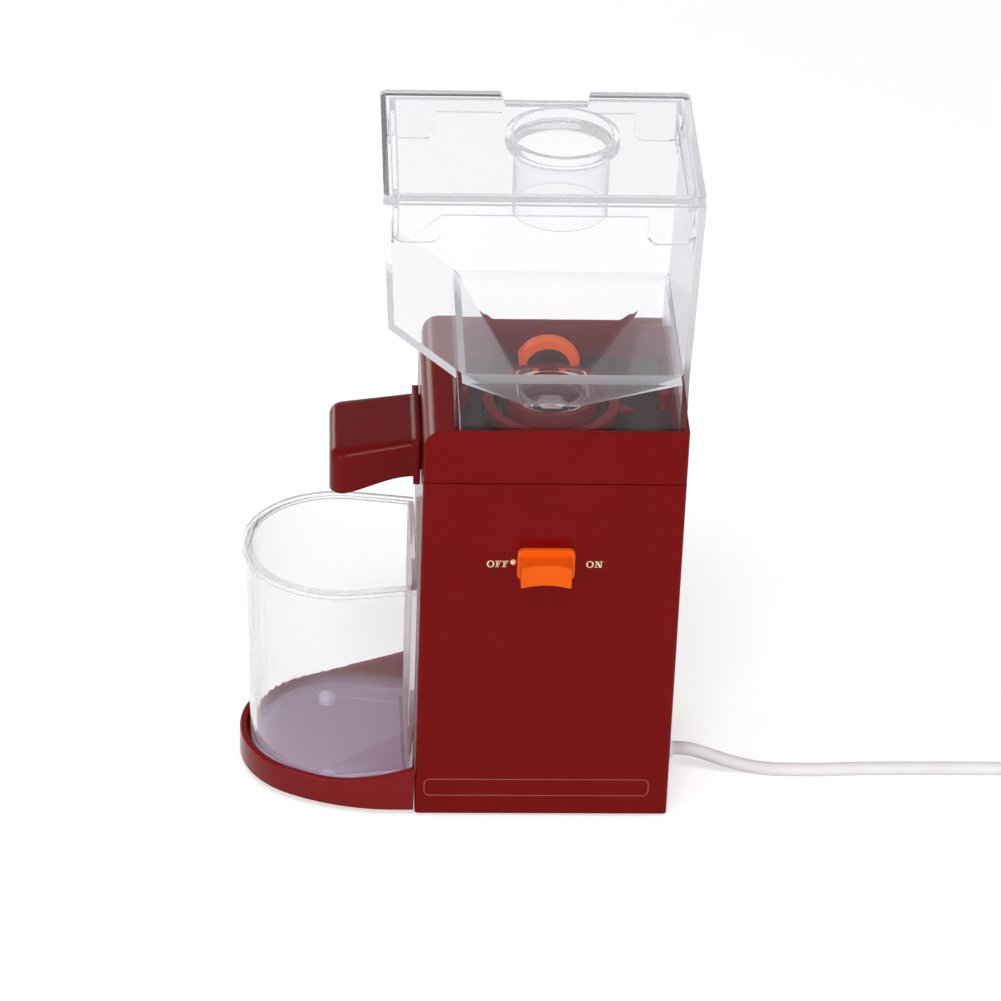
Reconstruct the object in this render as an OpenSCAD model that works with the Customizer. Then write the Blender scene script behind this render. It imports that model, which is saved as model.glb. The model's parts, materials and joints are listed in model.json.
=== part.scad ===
// Electric grain mill: a square body with a clear hopper on top, an outlet chute on its
// left side and a clear catch cup that stands on a tray below the chute.
// Millimetres, +Z up. The switch faces -Y and the cup stands on the -X side.

/* [Body] */
// Width of the body across the front
body_w = 100; // [97:0.5:104]
// Depth of the body from front to back
body_d = 87; // [85:0.5:92]
// Height of the body's top rim above the floor
body_h = 178; // [175:1:184]
// Height of the upper housing, from the seam to the rim
upper_h = 23; // [22.5:0.5:26]
// Wall of the body shell
wall = 2.2; // [1.8:0.1:2.6]
// Rounding of the body's upright edges
edge_r = 1.6; // [0.8:0.1:2.4]
// Rounding of the top edge above the chute
ledge_r = 7; // [4:0.5:8]
// Width of the flat ledge above the chute
ledge_w = 11.2; // [10.6:0.2:12.4]
// Rim of the well on the right side
rim_side = 1.3; // [1:0.1:1.6]
// Rim of the well at the front and the back
rim_front = 1.6; // [1.2:0.1:2]
// Depth of the deck below the top rim
deck_drop = 16.5; // [15.5:0.5:17]
// Thickness of the base plate
base_t = 2.5; // [2:0.1:3]
// Height of the rubber feet below the body
foot_h = 2; // [1.5:0.1:3]

/* [Hopper] */
// Height of the hopper from its seat to its top edge
hopper_h = 97.4; // [92:0.2:104]
// How far the hopper's top reaches past the body on the left
hopper_reach = 17.2; // [14:0.2:20]
// Wall of the hopper
hopper_wall = 2.3; // [1.9:0.1:2.6]
// Height of the sleeve below the hopper's slope
sleeve_h = 24.2; // [23:0.2:26]
// Height of the bend in the left wall above the sleeve
bend_h = 21.2; // [16:0.2:26]
// Bore radius of the hopper's neck
neck_r = 12; // [11:0.1:12.6]

/* [Lid] */
// Thickness of the lid plate
lid_t = 3.9; // [3:0.1:5]
// Depth of the lid's skirt
skirt_h = 5.5; // [4:0.1:8]
// Depth of the four corner tabs
tab_h = 16.8; // [12:0.1:20]
// Length of a corner tab along the front
tab_w = 17.5; // [14:0.1:20]
// Outer radius of the feed tube
tube_r = 18; // [16:0.1:19]
// Reach of the feed tube below the lid
tube_drop = 23.4; // [18:0.1:28]
// Height of the feed tube's lip above the lid
lip_h = 4.5; // [4:0.1:8]
// Outer radius of the lip
lip_r = 21.3; // [20.5:0.1:23]

/* [Mill] */
// Outer radius of the grind ring
ring_r = 26.4; // [25.6:0.1:27.4]
// Outer radius of the throat cup
throat_r = 18.5; // [17.6:0.1:19]
// Radius of the spindle
spindle_r = 4; // [3.5:0.1:4.5]
// Largest radius of the cone burr
burr_r = 15.6; // [14:0.1:15.8]
// Inner radius of the mill chamber
chamber_r = 27; // [26:0.1:28]

/* [Outlet] */
// Width of the chute flange
flange_w = 44; // [42:0.5:50]
// Height of the chute flange
flange_h = 20; // [19.5:0.1:22]
// Reach of the hood past its flange
hood_len = 32; // [27:0.1:36]
// Width of the hood at its outer end
hood_w = 43; // [40:0.5:48]
// Wall of the hood
hood_wall = 2; // [1.6:0.1:2.6]

/* [Cup] */
// Reach of the tray past the body
tray_len = 69.3; // [66:0.1:76]
// How far the tray's sides stand in from the front and the back of the body
tray_inset = 0.1; // [0:0.1:1.5]
// Radius of the tray's nose
nose_r = 37; // [36.5:0.5:38.5]
// Height of the tray's rim at its nose
tray_rim_h = 15; // [13:0.5:18]
// Height of the tray's rim beside the body
tray_back_h = 23; // [20:0.5:27]
// Height of the cup's rim above the floor
cup_top = 101; // [92:1:104]
// Wall of the cup
cup_wall = 2.3; // [1.6:0.1:2.6]
// Draft of the cup, top to bottom
cup_draft = 2.1; // [1.8:0.1:3]
// Radius of the cup's rim at its round end
cup_r = 38.2; // [36:0.1:38.4]
// Narrowing of the cup's rim on each side towards the body
cup_taper = 4.2; // [2:0.1:6]

/* [Switch] */
// Width of the slider plate
knob_w = 22; // [20:0.1:25]
// Height of the slider plate
knob_h = 13.4; // [12:0.1:16]
// Height of the slider's centre above the floor
knob_z = 120.2; // [118:0.1:123]
// Reach of the grip in front of the body
grip_reach = 12; // [9:0.5:14]
// Travel of the slider
knob_travel = 4; // [3:0.5:5]

/* [Drive] */
// Room between the motor and the right wall of the body
motor_room = 1.8; // [1.4:0.1:3.8]
// Radius of the motor shaft
shaft_r = 2.5; // [2:0.1:3]
// Module of the two gears
gear_module = 0.8; // [0.76:0.01:0.82]
// Teeth on the drive gear
gear_teeth = 45; // [43:1:47]
// Teeth on the pinion
pinion_teeth = 15; // [13:2:17]

/* [Cord] */
// Diameter of the power cord
cord_d = 5.4; // [5:0.1:5.5]

/* [Hidden] */
$fn = 64;

// Colours
red = "#7A1616";
dark = "#2B2B2E";
clear = "#DDE3E8";
orange = "#F04E0A";
steel = "#B9BCC0";
brass = "#C8A24A";
grey = "#D6D2D8";
white = "#EFEFEA";
copper = "#B5683A";

// Clearances: pieces of different bodies, pieces of one body, a running bore and a tool's overshoot
gap = 0.3;
snug = 0.05;
run_gap = 0.05;
over = 1;

// Body levels and half sizes
half_w = body_w / 2;
half_d = body_d / 2;
inner_w = half_w - wall;
inner_d = half_d - wall;
base_z = foot_h + base_t;
seam_z = body_h - upper_h;
deck_z = body_h - deck_drop;
deck_t = 2;
deck_bottom = deck_z - deck_t;
shelf_drop = 2;
shelf_z = body_h - shelf_drop;
tongue_h = 4;
tongue_t = 1.6;
seam_h = 0.3;
seam_in = 0.4;

// Well in the upper housing
well_x0 = ledge_w - half_w;
well_x1 = half_w - rim_side;
well_y = half_d - rim_front;
shelf_w = 2.6;
sleeve_gap = 0.2;
floor_t = 2.5;
boss_r = 3.2;
boss_h = 7.5;
boss_y = 4.5;
deck_screw_in = 6;
screw_bite = 1;
deck_skin = 0.5;

// Frame: the origin lies under the middle of the machine, cord left out
x_low = -half_w - tray_len;
hopper_flare = 2.2;
x_high = half_w - rim_side - sleeve_gap + hopper_flare;
y_low = -half_d - grip_reach;
frame_x = -(x_low + x_high) / 2;
frame_y = -(y_low + half_d) / 2;

// Switch box
box_w = 28;
box_h = 16;
box_d = 14;

// Corner pillars, their screws and the gear plate, which lies below the mill and the switch box
pillar_r = 4;
pillar_inset = 3;
pillar_x = inner_w - pillar_inset;
pillar_y = inner_d - pillar_inset;
plate_drop = 57.5;
plate_room = 5;
plate_t = 3;
plate_z = min(deck_z - plate_drop, knob_z - box_h / 2 - plate_room - plate_t);
plate_top = plate_z + plate_t;
screw_r = 1.4;
screw_head_r = 2.7;
screw_head_h = 1.5;
screw_len = 11;

// Feet
foot_r = 6;
foot_in_x = 13;
foot_in_y = 12.5;
foot_x = half_w - foot_in_x;
foot_y = half_d - foot_in_y;
foot_stem_r = 2.4;
foot_head_r = 3.7;
foot_head_h = 2;
foot_dome_r = 4.15;
tray_foot_out = 34;
tray_foot_x = -half_w - tray_foot_out;
tray_foot_y = 28;

// Tray plan: straight sides, two flat arcs and a round nose, all concentric for an inset
arc_fn = 180;
nose_fn = 120;
tray_gap = 0.4;
tray_half = half_d - tray_inset;
tray_x1 = -half_w - tray_gap;
tray_straight = 8;
side_x = -half_w - tray_straight;
nose_x = x_low + nose_r;
arc_dx = side_x - nose_x;
arc_db = tray_half - nose_r;
arc_k = (arc_dx * arc_dx - arc_db * arc_db) / (2 * arc_db);
tray_lift = 1;
tray_z = foot_h + tray_lift;
tray_floor_t = 2.5;
tray_floor = tray_z + tray_floor_t;
tray_wall = 2.6;
rise_len = 37;
rise_power = 1.7;
rise_steps = 10;
tongue_y = 19;
tongue_half = 5;
tongue_in = 8;
tongue_plate = 3;
tray_screw_in = 4;

// Cup
cup_out = 30.5;
cup_x = -half_w - cup_out;
cup_inset = 0.3;
bead_out = 1.6;
bead_h = 2.4;
cup_floor_t = 2.5;
cup_foot_h = 5;
cup_foot_w = 2;
cup_z = tray_floor;
cup_base = cup_z + cup_foot_h;
cup_low_inset = bead_out + cup_draft;
slab = 0.05;

// Mill levels, from the deck
carrier_z = deck_z + gap;
carrier_t = 1.5;
ring_z = carrier_z + carrier_t;
ring_h = 4;
ring_top = ring_z + ring_h;
ring_w = 4.2;
throat_h = 7.7;
throat_top = ring_z + throat_h;
throat_wall = 2.5;
skirt_r = 21.3;
skirt_wall = 2.1;
skirt_drop = 11.5;
skirt_bottom = deck_z - skirt_drop;
burr_gap = 1.4;
burr_top_gap = 4;
upper_burr_in = 0.2;
upper_burr_z = skirt_bottom + upper_burr_in;
lower_burr_in = 0.5;
lower_burr_z = skirt_bottom + lower_burr_in;
lower_burr_top = ring_z - gap;
burr_top_r = 7.6;
nut_h = 4;
nut_flats = 12;
nut_sides = 6;
spindle_top = lower_burr_top + nut_h;
sweeper_in = 1.5;
sweeper_r = chamber_r - sweeper_in;
sweeper_drop = 4.5;
sweeper_z = skirt_bottom - sweeper_drop;
sweeper_t = 1.5;
vane_h = 2.2;
vane_t = 2;
vanes = 4;
sweeper_hub_r = 8;
chamber_wall = 2;
rim_t = 2.5;
chamber_top = deck_bottom - rim_t;
sweeper_lift = 2;
chamber_floor = sweeper_z - sweeper_lift;
chamber_floor_t = 2.5;
rim_out = 6;
rim_r = chamber_r + rim_out;
rim_screw_out = 4;
chamber_boss_r = 10;
chamber_boss_h = 10.5;
chamber_boss_z = chamber_floor - chamber_boss_h;
bush_r = 7;
bush_top = sweeper_z - gap;
burr_teeth = 12;
burr_groove = 1.2;
upper_furrow = 0.5;
lower_furrow = 0.33;
tab_root_r = ring_r - ring_w / 2;
tab_tip_r = 33;
tab_y0 = -7;
tab_tip_y = -3;
tab_y1 = 2;
tab_lift = 0.4;
tab_t = 1.6;
tab_z = ring_z + tab_lift;
loop_r = 12.7;
loop_in = 8.7;
loop_y0 = 25.3;
loop_y1 = 30.3;
lug_h = 2.3;
loop_z = ring_z + lug_h;
lug_half = 13.2;
lug_y0 = 18;
lug_y1 = 30.6;

// Outlet duct and chute
duct_half = 18;
duct_wall = 1.5;
duct_drop = 3.5;
duct_h = 12.5;
duct_top = deck_z - duct_drop;
duct_bottom = duct_top - duct_h;
duct_out = 0.4;
duct_x0 = -half_w - duct_out;
flange_t = 2.6;
flange_x0 = duct_x0 - flange_t;
flange_drop = 1;
flange_top = deck_z - flange_drop;
spigot_gap = 0.4;
spigot_in = 7;
spigot_wall = 1.4;
hood_x0 = flange_x0 - hood_len;
hood_drop = 2;
hood_top_in = flange_top - hood_drop;
hood_fall = 4.5;
hood_half_in = 20;
hood_corner = 6.5;
hood_round = 3.5;
hood_skirt_in = 14.8;
hood_skirt_out = 22.5;
hood_steps = 12;
hood_fn = 32;
flange_corner = 2;

// Hopper
hopper_z0 = shelf_z;
hopper_top = hopper_z0 + hopper_h;
sleeve_x0 = well_x0 + sleeve_gap;
sleeve_x1 = well_x1 - sleeve_gap;
sleeve_y = well_y - sleeve_gap;
hopper_x1 = x_high;
hopper_x0 = -half_w - hopper_reach;
side_flare = 1.1;
hopper_y = sleeve_y + side_flare;
side_draft = 2.8;
sleeve_top = hopper_z0 + sleeve_h;
bend_z = sleeve_top + bend_h;
bend_x = hopper_x0 + side_draft;
slope = (bend_z - sleeve_top) / (sleeve_x0 - bend_x);
slope_rise = hopper_wall * (sqrt(1 + slope * slope) - slope);
band_h = 3;
funnel_drop = 1.5;
funnel_low = hopper_z0 - funnel_drop;
funnel_half_x = 13;
funnel_half_y = 11.5;
funnel_corner = 5;
funnel_fn = 32;
neck_wall = 1.5;
neck_in = 2.2;
neck_bottom = throat_top - neck_in;

// Lid
lid_bottom = hopper_top;
lid_top = lid_bottom + lid_t;
lid_corner = 3;
skirt_t = 2;
skirt_gap = 0.5;
tab_return = 9;
tab_corner = 4;
tab_drop_x = side_draft * tab_h / (hopper_top - bend_z);
tab_drop_right = hopper_flare * tab_h / (hopper_top - sleeve_top);
skirt_x0 = hopper_x0 + hopper_wall + skirt_gap + tab_drop_x;
skirt_x1 = hopper_x1 - hopper_wall - skirt_gap - tab_drop_right;
skirt_y = hopper_y - hopper_wall - 2 * skirt_gap;
notch_x = -4.3;
notch_w = 34;
notch_w_in = 31;
notch_in = 10.5;
tube_wall = 1.1;
lip_cone = 7.7;
lip_flare = 2.1;

// Switch
knob_x = -2.25;
knob_t = 2;
knob_corner = 2.5;
knob_y1 = -half_d - gap;
grip_w = 19.4;
grip_h = 9;
grip_dx = -0.35;
grip_scoop = 2.4;
grip_corner = 1;
scoop_fn = 128;
scoop_r = (grip_w * grip_w / 4 + grip_scoop * grip_scoop) / (2 * grip_scoop);
stem_w = 6;
stem_h = 5;
stem_in = 5.5;
dot_r = 1.2;
dot_gap = 0.3;
dot_x = knob_x - knob_w / 2 - dot_gap - dot_r;
dot_stem_r = 0.8;

// Drive
gear_pitch_r = gear_module * gear_teeth / 2;
pinion_pitch_r = gear_module * pinion_teeth / 2;
motor_x = gear_pitch_r + pinion_pitch_r;
motor_r = inner_w - motor_x - motor_room;
pressure = 20;
addendum = 0.8;
dedendum = 1.1;
backlash = 0.12;
flank_steps = 4;
gear_lift = 3;
gear_w = 8;
gear_z0 = plate_top + gear_lift;
gear_z1 = gear_z0 + gear_w;
gear_hub_r = 9;
gear_hub_h = 3;
pinion_over = 0.5;
can_h = 60;
can_z0 = plate_z - can_h;
can_wall = 1.5;
can_cap = 2;
can_boss_r = 7;
motor_bush_r = 5;
magnet_gap = 0.2;
magnet_r = motor_r - can_wall - magnet_gap;
magnet_t = 4.3;
magnet_in = magnet_r - magnet_t;
magnet_up = 16;
magnet_h = 38;
magnet_z0 = can_z0 + magnet_up;
magnet_z1 = magnet_z0 + magnet_h;
magnet_angle = 120;
air_gap = 0.8;
armature_r = magnet_in - air_gap;
armature_in = 2;
armature_z0 = magnet_z0 + armature_in;
armature_z1 = magnet_z1 - armature_in;
slots = 5;
slot_w = 3;
slot_share = 0.47;
slot_in = armature_r * (1 - slot_share);
winding_share = 0.79;
winding_bore_share = 0.33;
winding_r = armature_r * winding_share;
winding_in = armature_r * winding_bore_share;
winding_h = 2.5;
commutator_r = 6.2;
commutator_up = 7;
commutator_h = 8;
commutator_z0 = can_z0 + commutator_up;
commutator_z1 = commutator_z0 + commutator_h;
brush_gap = 0.5;
brush_len = 7;
brush_w = 5;
bell_t = 4;
bell_z = can_z0 - bell_t;
bell_boss_r = 8;
bell_boss_h = 5;
fan_in = 4;
fan_r = motor_r - fan_in;
fan_hub_r = 5;
fan_blades = 8;
fan_blade_t = 1.2;
fan_disc = 1;
fan_gap = 0.5;
fan_h = 6.5;
fan_z1 = bell_z - fan_gap;
fan_z0 = fan_z1 - fan_h;
motor_screw_out = 3.3;
motor_screw_r = can_boss_r + screw_head_r + motor_screw_out;

// Gland and cord route, chosen by hand in the machine's own axes
gland_y = -13;
gland_z = 12.5;
gland_nose = 3.5;
gland_nose_r = 4.2;
gland_flange_r = 6.4;
gland_flange_t = 2;
gland_tail = 17;
gland_tail_r = 4.6;
cord_r = cord_d / 2;
cord_sides = 10;
cord_route = [
    [53.5, -13, 12.5], [57, -13, 12.5], [61, -13, 11.9], [66, -13, 10.4], [71, -13, 8.4],
    [76, -13, 6.5], [81, -13, 4.9], [87, -13.2, 3.5], [94, -13.6, 2.8], [103, -14, 2.8], [113, -14, 2.8],
    [124, -13.4, 2.8], [138, -13, 2.8], [153, -12.8, 2.8], [168, -12.7, 2.8], [184, -12.8, 2.8],
    [198, -13, 2.9], [210, -13, 3.3], [220, -13, 3.8], [225, -13, 3.9], [230, -13, 3.9]
];

// Coil: in on the lower layer, up where it turns back, out on the upper layer
coil_x = 236;
coil_r = 36;
coil_y = gland_y + coil_r;
coil_pitch = 6;
coil_turns = 5;
coil_rings = 24;
coil_sides = 6;
coil_z = 3.9;
coil_rise = 6;
coil_climb = 0.25;
coil_end_x = 258;
coil_start_x = 230;
tie_t = 0.9;
tie_w = 6;
tie_gap = 0.3;

// Plug
plug_z = coil_z + coil_rise;
relief_len = 12;
relief_r0 = 4;
relief_r1 = 5.5;
plug_len = 34;
plug_w = 27;
plug_h = 19.4;
plug_corner = 6;
pin_r = 2;
pin_half = 9.5;
pin_len = 19;

// Shared shapes
module placed() {
    translate([frame_x, frame_y, 0]) children();
}

// A box between two corners
module span(a, b) {
    translate(a) cube(b - a);
}

// A plate outline with round corners, centred
module round_plate(w, d, r) {
    square([w - 2 * r, d], center = true);
    square([w, d - 2 * r], center = true);
    for (x = [-1, 1], y = [-1, 1]) {
        translate([x * (w / 2 - r), y * (d / 2 - r)]) circle(r = r);
    }
}

// A rod along Z between two levels
module rod(r, z0, z1) {
    translate([0, 0, z0]) cylinder(r = r, h = z1 - z0);
}

// A tube along Z between two levels
module tube(r_out, r_in, z0, z1) {
    difference() {
        rod(r_out, z0, z1);
        rod(r_in, z0 - over, z1 + over);
    }
}

// A cone along Z between two levels
module cone(r0, r1, z0, z1) {
    translate([0, 0, z0]) cylinder(r1 = r0, r2 = r1, h = z1 - z0);
}

// An outline in X and Z, drawn out along Y
module along_y(y0, y1) {
    translate([0, y1, 0]) rotate([90, 0, 0]) linear_extrude(y1 - y0) children();
}

// An outline in Y and Z, drawn out along X
module along_x(x0, x1) {
    translate([x0, 0, 0]) rotate([90, 0, 90]) linear_extrude(x1 - x0) children();
}

module at_motor() {
    translate([motor_x, 0, 0]) children();
}

module at_pillars() {
    for (x = [-1, 1], y = [-1, 1]) {
        translate([x * pillar_x, y * pillar_y, 0]) children();
    }
}

// A screw whose head lies below its shank
module screw_up(z_head, length) {
    rod(screw_head_r, z_head, z_head + screw_head_h);
    rod(screw_r, z_head + screw_head_h, z_head + screw_head_h + length);
}

// The tray's plan, drawn in by an inset
module tray_plan(inset, flat_inset) {
    half = tray_half - inset;
    side_r = tray_half + arc_k - inset;
    tip_r = nose_r - inset;
    meet_x = side_x - side_r * arc_dx / (side_r - tip_r);
    x1 = tray_x1 - flat_inset;
    translate([side_x - over, -half]) square([x1 - side_x + over, 2 * half]);
    intersection() {
        translate([side_x, -arc_k]) circle(r = side_r, $fn = arc_fn);
        translate([side_x, arc_k]) circle(r = side_r, $fn = arc_fn);
        translate([meet_x, -half]) square([side_x - meet_x, 2 * half]);
    }
    intersection() {
        translate([nose_x, 0]) circle(r = tip_r, $fn = nose_fn);
        translate([nose_x - tip_r, -tip_r]) square([side_x - nose_x + tip_r, 2 * tip_r]);
    }
}

// The involute function, in degrees
function involute(a) = tan(a) * 180 / PI - a;

// Half the angle of a tooth at a radius
function tooth_half(r, teeth, pitch_r) =
    let (base_r = pitch_r * cos(pressure), a = acos(min(1, base_r / max(r, base_r))))
    90 / teeth - backlash / pitch_r * 90 / PI + involute(pressure) - involute(a);

// The outline of a spur gear with a tooth on +X
function gear_points(teeth, pitch_r) =
    let (
        root_r = pitch_r - dedendum * gear_module,
        tip_r = pitch_r + addendum * gear_module,
        step = (tip_r - root_r) / flank_steps
    )
    [for (i = [0 : teeth - 1], k = [0 : 2 * flank_steps + 1])
        let (
            rising = k <= flank_steps,
            r = root_r + step * (rising ? k : 2 * flank_steps + 1 - k),
            side = rising ? -1 : 1,
            angle = 360 * i / teeth + side * tooth_half(r, teeth, pitch_r)
        )
        [r * cos(angle), r * sin(angle)]
    ];

// A round tube swept along points, as triangles
module sweep(points, r, sides) {
    last = len(points) - 1;
    way = [for (i = [0 : last])
        let (d = points[min(i + 1, last)] - points[max(i - 1, 0)]) d / norm(d)];
    skin = [for (i = [0 : last])
        let (s = cross(way[i], [0, 0, 1]), side = s / norm(s), up = cross(side, way[i]))
        for (k = [0 : sides - 1])
            let (a = 360 * k / sides) points[i] + r * (cos(a) * side + sin(a) * up)];
    walls = [for (i = [0 : last - 1], k = [0 : sides - 1])
        let (a = i * sides + k, b = i * sides + (k + 1) % sides)
        each [[a, a + sides, b], [b, a + sides, b + sides]]];
    first_cap = [for (k = [1 : sides - 2]) [0, k, k + 1]];
    last_cap = [for (k = [1 : sides - 2])
        [last * sides, last * sides + k + 1, last * sides + k]];
    polyhedron(points = skin, faces = concat(walls, first_cap, last_cap));
}

// Housing
module lower_housing() {
    color(red) placed() difference() {
        union() {
            difference() {
                translate([0, 0, foot_h]) linear_extrude(seam_z - foot_h)
                    round_plate(body_w, body_d, edge_r);
                span([-inner_w, -inner_d, foot_h - over], [inner_w, inner_d, seam_z + over]);
            }
            at_pillars() rod(pillar_r, base_z, plate_z);
        }
        at_pillars() rod(screw_r + snug, base_z - over, base_z + screw_len);
        at_pillars() rod(screw_r + snug, plate_z - screw_len, plate_z + over);
        duct_cut();
        for (y = [-1, 1]) {
            span([-half_w - over, y * tongue_y - tongue_half - snug, base_z - snug],
                [-inner_w + over, y * tongue_y + tongue_half + snug, base_z + tongue_plate + snug]);
        }
        knob_slot(-half_d - over, -inner_d + over);
        translate([dot_x, 0, knob_z]) rotate([90, 0, 0])
            rod(dot_stem_r + snug, inner_d - over, half_d + over);
        translate([0, gland_y, gland_z]) rotate([0, 90, 0])
            rod(gland_tail_r + snug, inner_w - over, half_w + over);
    }
}

// The way through both housings for the outlet duct
module duct_cut() {
    span([-half_w - over, -duct_half - snug, duct_bottom - snug],
        [0, duct_half + snug, duct_top + snug]);
}

// The slot that the slider's stem moves along
module knob_slot(y0, y1) {
    span([knob_x - stem_w / 2 - gap, y0, knob_z - stem_h / 2 - gap],
        [knob_x + stem_w / 2 + knob_travel + gap, y1, knob_z + stem_h / 2 + gap]);
}

module upper_housing() {
    floor_z = deck_bottom - floor_t;
    color(red) placed() difference() {
        union() {
            difference() {
                intersection() {
                    translate([0, 0, seam_z]) linear_extrude(upper_h)
                        round_plate(body_w, body_d, edge_r);
                    along_y(-half_d - over, half_d + over) upper_outline();
                }
                span([well_x0, -well_y, shelf_z], [well_x1, well_y, body_h + over]);
                span([well_x0 + shelf_w, shelf_w - well_y, deck_bottom],
                    [well_x1 - shelf_w, well_y - shelf_w, shelf_z + over]);
                span([-inner_w + tongue_t + gap, -inner_d + tongue_t + gap, seam_z - over],
                    [inner_w - tongue_t - gap, inner_d - tongue_t - gap, floor_z]);
                span([-inner_w + tongue_t + gap, -inner_d + tongue_t + gap, seam_z - over],
                    [well_x0 - wall, inner_d - tongue_t - gap, body_h - ledge_r]);
            }
            difference() {
                span([snug - inner_w, snug - inner_d, seam_z - tongue_h],
                    [inner_w - snug, inner_d - snug, seam_z + over]);
                span([tongue_t - inner_w, tongue_t - inner_d, seam_z - tongue_h - over],
                    [inner_w - tongue_t, inner_d - tongue_t, seam_z + 2 * over]);
            }
            at_bosses() rod(boss_r, deck_bottom, deck_z + boss_h);
        }
        seam_groove();
        rod(rim_r + gap, seam_z - over, deck_bottom + over);
        deck_screw_places() rod(screw_r + snug, seam_z - over, deck_bottom + over);
        duct_cut();
    }
}

// The fine groove round the body, just above the seam
module seam_groove() {
    translate([0, 0, seam_z]) linear_extrude(seam_h) difference() {
        square([body_w + 2 * over, body_d + 2 * over], center = true);
        round_plate(body_w - 2 * seam_in, body_d - 2 * seam_in, edge_r - seam_in);
    }
}

// The upper housing seen from the front, with its round left shoulder
module upper_outline() {
    translate([-half_w, seam_z]) square([body_w, upper_h - ledge_r]);
    translate([ledge_r - half_w, seam_z]) square([body_w - ledge_r, upper_h]);
    translate([ledge_r - half_w, body_h - ledge_r]) circle(r = ledge_r);
}

module at_bosses() {
    for (x = [well_x0 + shelf_w + boss_r / 2, well_x1 - shelf_w - boss_r / 2]) {
        translate([x, boss_y, 0]) children();
    }
}

module deck_screw_places() {
    inset = shelf_w + deck_screw_in;
    for (x = [well_x0 + inset, well_x1 - inset], y = [-1, 1]) {
        translate([x, y * (well_y - inset), 0]) children();
    }
}

module base_plate() {
    color(dark) placed() difference() {
        span([gap - inner_w, gap - inner_d, foot_h], [inner_w - gap, inner_d - gap, base_z]);
        at_pillars() rod(screw_r + snug, foot_h - over, base_z + over);
        at_pillars() rod(screw_head_r + snug, foot_h - over, foot_h + screw_head_h);
        at_feet() rod(foot_stem_r + snug, foot_h - over, base_z + over);
        at_tray_screws() rod(screw_r + snug, foot_h - over, base_z + over);
        at_tray_screws() rod(screw_head_r + snug, foot_h - over, foot_h + screw_head_h);
    }
}

module at_feet() {
    for (x = [-1, 1], y = [-1, 1]) {
        translate([x * foot_x, y * foot_y, 0]) children();
    }
}

module at_tray_screws() {
    for (y = [-1, 1]) {
        translate([-inner_w + tray_screw_in, y * tongue_y, 0]) children();
    }
}

module rubber_feet() {
    color(dark) placed() at_feet() {
        rod(foot_r, 0, foot_h);
        rod(foot_stem_r, foot_h, base_z);
        rod(foot_head_r, base_z, base_z + foot_head_h);
    }
}

module housing_screws() {
    color(steel) placed() at_pillars() screw_up(foot_h, screw_len);
}

module tray_screws() {
    color(steel) placed() at_tray_screws()
        screw_up(foot_h, base_z + tongue_plate - foot_h - screw_head_h);
}

module cup_tray() {
    color(red) placed() {
        difference() {
            translate([0, 0, tray_z]) linear_extrude(tray_back_h - tray_z) tray_plan(0, 0);
            translate([0, 0, tray_floor]) linear_extrude(tray_back_h)
                tray_plan(tray_wall, 0);
            span([tray_x1 - tray_wall, -tray_half + tray_wall, tray_floor],
                [tray_x1 + over, tray_half - tray_wall, tray_back_h + over]);
            along_y(-tray_half - over, tray_half + over) rim_cut();
            at_tray_feet() rod(foot_stem_r + snug, tray_z - over, tray_floor + over);
        }
        difference() {
            for (y = [-1, 1]) {
                span([tray_x1 - tray_wall, y * tongue_y - tongue_half, base_z],
                    [-inner_w + tongue_in, y * tongue_y + tongue_half, tray_floor]);
                span([-half_w - tray_gap, y * tongue_y - tongue_half, base_z],
                    [-inner_w + tongue_in, y * tongue_y + tongue_half, base_z + tongue_plate]);
            }
            at_tray_screws() rod(screw_r + snug, tray_z, base_z + tongue_plate + over);
        }
    }
}

// What the rim's top edge leaves out: level at the nose, rising towards the body
module rim_cut() {
    polygon(concat(
        [[-half_w, tray_back_h + over], [x_low - over, tray_back_h + over], [x_low - over, tray_rim_h]],
        [for (i = [0 : rise_steps])
            let (t = i / rise_steps)
            [rise_len * (t - 1) - half_w, tray_rim_h + (tray_back_h - tray_rim_h) * pow(t, rise_power)]]
    ));
}

module at_tray_feet() {
    for (y = [-1, 1]) {
        translate([tray_foot_x, y * tray_foot_y, 0]) children();
    }
}

module tray_feet() {
    color(white) placed() at_tray_feet() {
        rod(foot_head_r, 0, tray_z);
        rod(foot_stem_r, tray_z, tray_floor);
        intersection() {
            rod(foot_head_r, tray_floor, tray_floor + cup_foot_h - gap);
            translate([0, 0, tray_floor + cup_foot_h - gap - foot_dome_r]) sphere(r = foot_dome_r);
        }
    }
}

module deck_plate() {
    color(dark) placed() difference() {
        span([well_x0 + shelf_w + gap, shelf_w + gap - well_y, deck_bottom],
            [well_x1 - shelf_w - gap, well_y - shelf_w - gap, deck_z]);
        rod(skirt_r + gap, deck_bottom - over, deck_z + over);
        at_bosses() rod(boss_r + gap, deck_bottom - over, deck_z + over);
        deck_screw_places() rod(screw_r + snug, deck_bottom - over, deck_z - deck_skin);
        at_flange_screws() rod(screw_r + snug, deck_bottom - over, deck_z - deck_skin);
    }
}

module deck_screws() {
    color(steel) placed() deck_screw_places()
        screw_up(deck_bottom - floor_t - screw_head_h, floor_t + screw_bite);
}

// Mill
module at_flange_screws() {
    for (a = [45 : 90 : 315]) {
        rotate([0, 0, a]) translate([chamber_r + rim_screw_out, 0, 0]) children();
    }
}

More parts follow.
